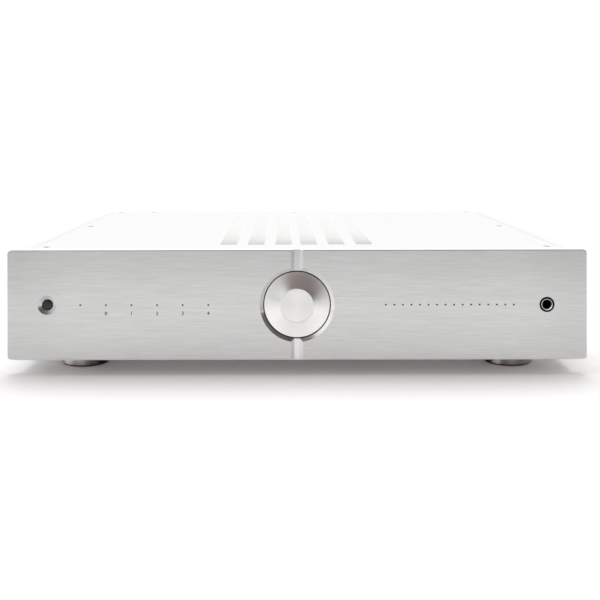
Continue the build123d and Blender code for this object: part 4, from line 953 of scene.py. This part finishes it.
# rear panel marks
RLO, RHI = mm_box("rear_panel")
YR = RHI[1]
rca_lo, rca_hi = mm_box("rca_shells")
RCA_X = [rca_lo[0] + 6.5 + 20.0 * i for i in range(4)]
RCA_Z = [rca_lo[2] + 6.5, rca_hi[2] - 6.5]
ink_y = YR + 0.011
for i, x in enumerate(reversed(RCA_X)):
    letters(str(i + 1), 4.2, (x, ink_y, 79.5), "rear", "rear_marks", "ink")
caps_x = {n[4:]: centre_mm(n)[0] for n in NODES if n.startswith("cap_")}
for n, x in caps_x.items():
    letters("+" if "plus" in n else "-", 7.0, (x, ink_y, 41.0), "rear", "rear_marks", "ink")
rm = Build()


def ink_line(x0, z0, x1, z1, w=0.45):
    """Printed line on the rear panel."""
    d = Vector((x1 - x0, 0, z1 - z0)).normalized()
    n = Vector((-d.z, 0, d.x)) * (w / 2)
    a, b = Vector((x0, 0, z0)), Vector((x1, 0, z1))
    q = [a + n, b + n, b - n, a - n]
    lo_, hi_ = YR + 0.0005, YR + 0.02
    verts = [(p.x, lo_, p.z) for p in q] + [(p.x, hi_, p.z) for p in q]
    rm.add(verts, [(4, 5, 6, 7), (3, 2, 1, 0), (0, 1, 5, 4), (1, 2, 6, 5), (2, 3, 7, 6), (3, 0, 4, 7)], 0)


def ink_frame(x0, z0, x1, z1, r=3.0):
    pts = []
    for cx, cz, a0 in ((x1 - r, z1 - r, 0), (x0 + r, z1 - r, 90), (x0 + r, z0 + r, 180), (x1 - r, z0 + r, 270)):
        for k in range(7):
            a = math.radians(a0 + 15 * k)
            pts.append((cx + r * math.cos(a), cz + r * math.sin(a)))
    for p, q in zip(pts, pts[1:] + pts[:1]):
        ink_line(p[0], p[1], q[0], q[1])


ink_frame(52, 29, 133, 85)
ink_frame(136.5, 29, 200, 85)
ink_frame(-74, 33, 20, 67)
gx, gz = centre_mm("earth_nut")[0], centre_mm("earth_nut")[2]
for k, w in enumerate((5.0, 3.2, 1.4)):
    ink_line(gx - w, gz + 11.0 - k * 1.4, gx + w, gz + 11.0 - k * 1.4, 0.5)
ink_line(gx, gz + 11.0, gx, gz + 15.0, 0.5)
rm.obj("rear_lines", [M["ink"]], "chassis", smooth=20)
finish_prints()

# rocker symbols: a line on the raised half, a ring on the flat half
rklo, rkhi = mm_box("power_rocker")
rcx, rcz = (rklo[0] + rkhi[0]) / 2, (rklo[2] + rkhi[2]) / 2
rk = Build()


def printed_band(o, v, n, inner, outer):
    """Thin closed band between two outlines (across, up) on the plane through o with up direction v and normal n."""
    o, v, n, u = Vector(o), Vector(v), Vector(n), Vector((1, 0, 0))
    k = len(outer)
    verts = [o + u * a_ + v * b_ + n * h for h in (0.004, 0.03) for line in (inner, outer) for a_, b_ in line]
    faces = []
    for i in range(k):
        j = (i + 1) % k
        faces += [(2 * k + i, 2 * k + j, 3 * k + j, 3 * k + i), (i, k + i, k + j, j), (k + i, 3 * k + i, 3 * k + j, k + j), (i, j, 2 * k + j, 2 * k + i)]
    rk.add(verts, faces, 0)


def round_line(r, n_=36):
    return [(r * math.cos(2 * math.pi * k / n_), r * math.sin(2 * math.pi * k / n_)) for k in range(n_)]


printed_band((rcx, rkhi[1] - 3.7, rcz - 5.6), (0, 0, 1), (0, 1, 0), round_line(1.45), round_line(1.85))
s_, c_r = math.sin(math.radians(24)), math.cos(math.radians(24))
o_up = (rcx, rkhi[1] - 1.82, rcz + 3.3)
printed_band(o_up, (0, s_, c_r), (0, c_r, -s_), [(-0.02, -1.7), (0.02, -1.7), (0.02, 1.7), (-0.02, 1.7)], [(-0.22, -1.9), (0.22, -1.9), (0.22, 1.9), (-0.22, 1.9)])
rk.obj("rocker_marks", [M["white_ink"]], "rocker", smooth=20)


# --------------------------------------------------------------------------
# Small parts on the circuit boards
# --------------------------------------------------------------------------
class Board:
    """A board's face: u and v run along it, w out of it. Maps small parts into the object's frame."""

    def __init__(self, origin, u, v, w):
        self.o, self.u, self.v, self.w = Vector(origin), Vector(u), Vector(v), Vector(w)
        self.b = Build()

    def put(self, build):
        verts = [self.o + self.u * p[0] + self.v * p[1] + self.w * p[2] for p in build.v]
        n = len(self.b.v)
        self.b.v += [tuple(p) for p in verts]
        self.b.f += [tuple(i + n for i in f) for f in build.f]
        self.b.m += build.m

    def elco(self, x, y, r, h, sleeve=0, can=1):
        p = Build()
        prof = [(0, 0.3), (r * 0.93, 0.3), (r, 0.8), (r, h * 0.14), (r * 0.94, h * 0.17), (r * 0.94, h * 0.19), (r, h * 0.22), (r, h - 0.7), (r * 0.95, h - 0.15), (r * 0.86, h - 0.1), (r * 0.84, h), (0, h)]
        mats = [sleeve] * 8 + [sleeve, can, can, can]
        p.lathe(prof, 24, "Z", (x, y, 0), mats=mats, closed=False)
        self.put(p)

    def resistor(self, x, y, along="u", length=6.3, r=1.15, body=2):
        p = Build()
        l = length / 2
        prof = [(0, -l), (r * 0.8, -l), (r, -l + 0.5), (r, -l + 1.3), (r * 0.86, -l + 1.7), (r * 0.86, l - 1.7), (r, l - 1.3), (r, l - 0.5), (r * 0.8, l), (0, l)]
        p.lathe(prof, 12, "X" if along == "u" else "Y", (x, y, r + 0.35), mat=body, closed=False)
        for s in (-1, 1):
            if along == "u":
                p.tube([(x + s * l, y, r + 0.35), (x + s * (l + 1.3), y, r + 0.35), (x + s * (l + 1.9), y, r * 0.5), (x + s * (l + 1.9), y, 0)], 0.28, 6, 3, 3)
            else:
                p.tube([(x, y + s * l, r + 0.35), (x, y + s * (l + 1.3), r + 0.35), (x, y + s * (l + 1.9), r * 0.5), (x, y + s * (l + 1.9), 0)], 0.28, 6, 3, 3)
        self.put(p)

    def block(self, x, y, lx, ly, h, c=0.4, mat=4, z=0.0):
        p = Build()
        p.slab(x - lx / 2, x + lx / 2, y - ly / 2, y + ly / 2, z, z + h, c, mat)
        self.put(p)

    def chip(self, x, y, pins=8, along="u"):
        p = Build()
        n = pins // 2
        L = n * 2.54 - 0.3
        if along == "u":
            p.slab(x - L / 2, x + L / 2, y - 3.2, y + 3.2, 0.6, 3.9, 0.35, 5)
        else:
            p.slab(x - 3.2, x + 3.2, y - L / 2, y + L / 2, 0.6, 3.9, 0.35, 5)
        for i in range(n):
            d = (i - (n - 1) / 2) * 2.54
            for s in (-1, 1):
                if along == "u":
                    p.slab(x + d - 0.25, x + d + 0.25, y + s * 3.2, y + s * 3.85, 0.0, 2.1, 0.06, 3)
                else:
                    p.slab(x + s * 3.2, x + s * 3.85, y + d - 0.25, y + d + 0.25, 0.0, 2.1, 0.06, 3)
        self.put(p)

    def header(self, x, y, n, along="u", mat=6):
        p = Build()
        L = n * 2.5 + 2.4
        lx, ly = (L, 5.8) if along == "u" else (5.8, L)
        p.slab(x - lx / 2, x + lx / 2, y - ly / 2, y + ly / 2, 0, 1.2, 0.2, mat)
        for s in (-1, 1):
            if along == "u":
                p.slab(x - lx / 2, x + lx / 2, y + s * ly / 2, y + s * (ly / 2 - 0.8), 1.2, 6.5, 0.2, mat)
            else:
                p.slab(x + s * lx / 2, x + s * (lx / 2 - 0.8), y - ly / 2, y + ly / 2, 1.2, 6.5, 0.2, mat)
        for i in range(n):
            d = (i - (n - 1) / 2) * 2.5
            q = (x + d, y) if along == "u" else (x, y + d)
            p.slab(q[0] - 0.32, q[0] + 0.32, q[1] - 0.32, q[1] + 0.32, 1.2, 6.0, 0.12, 3)
        self.put(p)

    def done(self, name):
        return self.b.obj(name, BOARD_MATS, "chassis", smooth=35)


BOARD_MATS = [M["sleeve"], M["can"], M["blue_body"], M["solder"], M["red_box"], M["epoxy"], M["nylon_white"], M["ceramic"], M["gloss_black"], M["copper"]]

# supply board
slo, shi = mm_box("supply_board")
sb = Board((0, 0, shi[2]), (1, 0, 0), (0, 1, 0), (0, 0, 1))
for cy in (212.5, 251.5, 290.5):
    for cx in (-191.8, -152.5):
        sb.resistor(cx, cy, "v", 7.0, 1.3, 7)
for cy in (186, 199):
    sb.block(-99, cy, 17, 7.5, 12.5, 0.7, 4)
for cy in (238, 246, 254, 262):
    sb.block(-99, cy, 12, 5.0, 9.0, 0.5, 4)
for k in range(7):
    sb.resistor(-104 + 3.9 * k - 2, 313, "v", 6.0, 1.1, 2)
sb.header(-99, 325, 6, "u")
sb.header(-122 + 2, 177, 4, "u")
for cy in (232, 268):
    sb.elco(-113.2 + 22.5, cy, 2.6, 7, 0, 1)
sb.done("supply_board_parts")

# preamplifier board
plo, phi = mm_box("preamplifier_board")
pb = Board((0, 0, phi[2]), (1, 0, 0), (0, 1, 0), (0, 0, 1))
for r_ in range(3):
    for c_ in range(4):
        x, y = 96 + 25 * c_, 132 + 54 * r_
        pb.chip(x, y, 8 if c_ % 2 else 14, "v")
        pb.elco(x + 9, y + 13, 3.2, 11, 0, 1)
        pb.elco(x + 9, y - 12, 3.2, 11, 0, 1)
        pb.block(x - 3, y + 15, 7.3, 3.2, 8.5, 0.4, 4)
        pb.block(x - 3, y - 15, 7.3, 3.2, 8.5, 0.4, 4)
        for k in range(4):
            pb.resistor(x + 10, y - 5 + 3.3 * k, "u", 5.4, 0.95, 2)
for k in range(6):
    pb.block(94 + 17.5 * k, 288, 9.8, 20, 11, 0.6, 8)
    pb.resistor(94 + 17.5 * k + 8.6, 288, "v", 6, 1.05, 2)
pb.header(100, 113, 8, "u")
pb.header(140, 113, 10, "u")
pb.done("preamplifier_board_parts")

# input board, parts on the inner side
ilo, ihi = mm_box("input_board")
ib = Board((0, ilo[1], 0), (1, 0, 0), (0, 0, 1), (0, -1, 0))
for x in RCA_X:
    for z in RCA_Z:
        ib.block(x + 7.5, z + 8.5, 9.8, 7.4, 10.0, 0.5, 8)
        ib.resistor(x - 5.5, z + 9, "u", 5.4, 0.95, 2)
        ib.resistor(x - 5.5, z - 8, "u", 5.4, 0.95, 2)
for x in (152.0, 184.0):
    ib.chip(x - 6, 34, 8, "u")
    ib.chip(x + 6 + 1, 76, 8, "u")
ib.header(110, 28, 12, "u")
ib.done("input_board_parts")

# amplifier boards, parts on the outer side
alo, ahi = mm_box("amplifier_boards")
for s in (-1, 1):
    ab = Board((s * ahi[0], 0, 0), (0, 1, 0), (0, 0, 1), (s, 0, 0))
    for ty in (80.0, 138.0, 196.0, 254.0):
        free = not (s < 0 and ty < 165)
        for k in (-1, 1):
            if free:
                ab.block(ty + 16 * k, 40, 9.5, 25, 8.5, 0.5, 6)
                ab.elco(ty + 16 * k, 70, 4.0, 11, 0, 1)
        ab.resistor(ty, 74, "u", 6.0, 1.05, 2)
        ab.resistor(ty, 78, "u", 6.0, 1.05, 2)
        ab.resistor(ty - 2, 30, "u", 6.0, 1.05, 2)
    if s > 0:
        for k in range(5):
            ab.resistor(62, 30 + 6 * k, "v", 5.0, 1.0, 2)
    ab.header(272, 70, 5, "v")
    ab.header(272, 40, 4, "v")
    ab.done("amplifier_board_parts_" + ("left" if s < 0 else "right"))

# indicator boards, parts on the inner side
dlo, dhi = mm_box("indicator_boards")
db = Board((0, dhi[1], 0), (1, 0, 0), (0, 0, 1), (0, 1, 0))
for x in (-180, -110, 90, 130):
    db.chip(x, ZC, 16, "u")
    for k in range(5):
        db.resistor(x + 16 + 3.4 * k, ZC, "v", 5.0, 0.95, 2)
db.header(-84, ZC - 7, 8, "u")
db.header(110, ZC - 9, 8, "u")
db.done("indicator_board_parts")

# --------------------------------------------------------------------------
# CAD nodes: second finishes on some faces, then welded and edge-rounded
# --------------------------------------------------------------------------
LED_X = [-(68.0 + i * 19.6) for i in range(6)] + [68.0 + i * 98.0 / 15 for i in range(16)]
GROOVE_Y = 1.5                  # depth of the groove and of the sloping ring round the knob


def near_led(c):
    return abs(c[2] - ZC) < 2.3 and min(abs(c[0] - x) for x in LED_X) < 2.3 and c[1] > 0.03


lb = Build()
for x in LED_X:
    lb.lathe([(0, -0.13), (0.26, -0.122), (0.48, -0.098), (0.63, -0.058), (0.70, -0.015), (0.70, 0.012), (0.43, 0.012), (0.43, 0.55), (0, 0.55)], 28, "Y", (x, 0, ZC), closed=False)
lb.obj("indicator_lenses", [M["lens"]], "chassis", smooth=40)

# sloping ring: painted light and shade by angle
paint_faces("front_panel", "recess", lambda c, n: -0.97 < n.y < -0.2 and abs(math.hypot(c[0], c[2] - ZC) - 27.3) < 2.2 and c[1] < GROOVE_Y + 0.2)
# hollow behind the knob's rim: painted shadow
paint_faces("front_panel", "pocket", lambda c, n: math.hypot(c[0], c[2] - ZC) < 26.3 and c[1] > GROOVE_Y - 0.05)
paint_faces("front_panel", "groove", lambda c, n: abs(c[0]) < 4.8 and c[1] > GROOVE_Y - 0.05 and c[1] < GROOVE_Y + 0.05 and math.hypot(c[0], c[2] - ZC) > 28.7)
# groove walls: painted shade on the left wall, painted light on the right wall
paint_faces("front_panel", "groove_left", lambda c, n: -4.8 < c[0] < 0 and 0.05 < c[1] < GROOVE_Y - 0.05 and math.hypot(c[0], c[2] - ZC) > 28.7)
paint_faces("front_panel", "groove_right", lambda c, n: 0 < c[0] < 4.8 and 0.05 < c[1] < GROOVE_Y - 0.05 and math.hypot(c[0], c[2] - ZC) > 28.7)
SIDE_TOP = mm_box("side_panel_left")[1][2]
for side_ in ("side_panel_left", "side_panel_right"):
    # inner step faces of the side panels: painted shade
    paint_faces(side_, "side_step", lambda c, n: abs(n.x) > 0.7 and c[2] > SIDE_TOP - 4.0 and abs(c[0]) < 214)
    paint_faces(side_, "cover", lambda c, n: n.z > 0.9 and c[2] > SIDE_TOP - 0.5)
TOP_Z = mm_box("top_cover")[1][2]
# slot walls in the cover: painted glow, fading to painted shade at the front
paint_faces("top_cover", "cover_cut", lambda c, n: n.y < -0.5 and abs(c[0]) < 64 and 40 < c[1] < 300 and c[2] > TOP_Z - 3.0)
# indicator hole walls: painted shade
paint_faces("front_panel", "bore", lambda c, n: near_led(c) and abs(n.y) < 0.9)
# panel chamfers and rims: painted highlight
paint_faces("front_panel", "panel_edge", lambda c, n: abs(n.y) < 0.97 and (abs(c[0]) > 221.5 or c[2] > PT - 1.2 or c[2] < PB + 1.2))

for n, w in bevels.items():
    if n not in ("foot_bodies",):
        crisp(n, w, {"front_panel": 20, "headphone_ferrule": 34}.get(n, 38))
for n, o in NODES.items():
    if n not in bevels:
        crisp(n, 0)
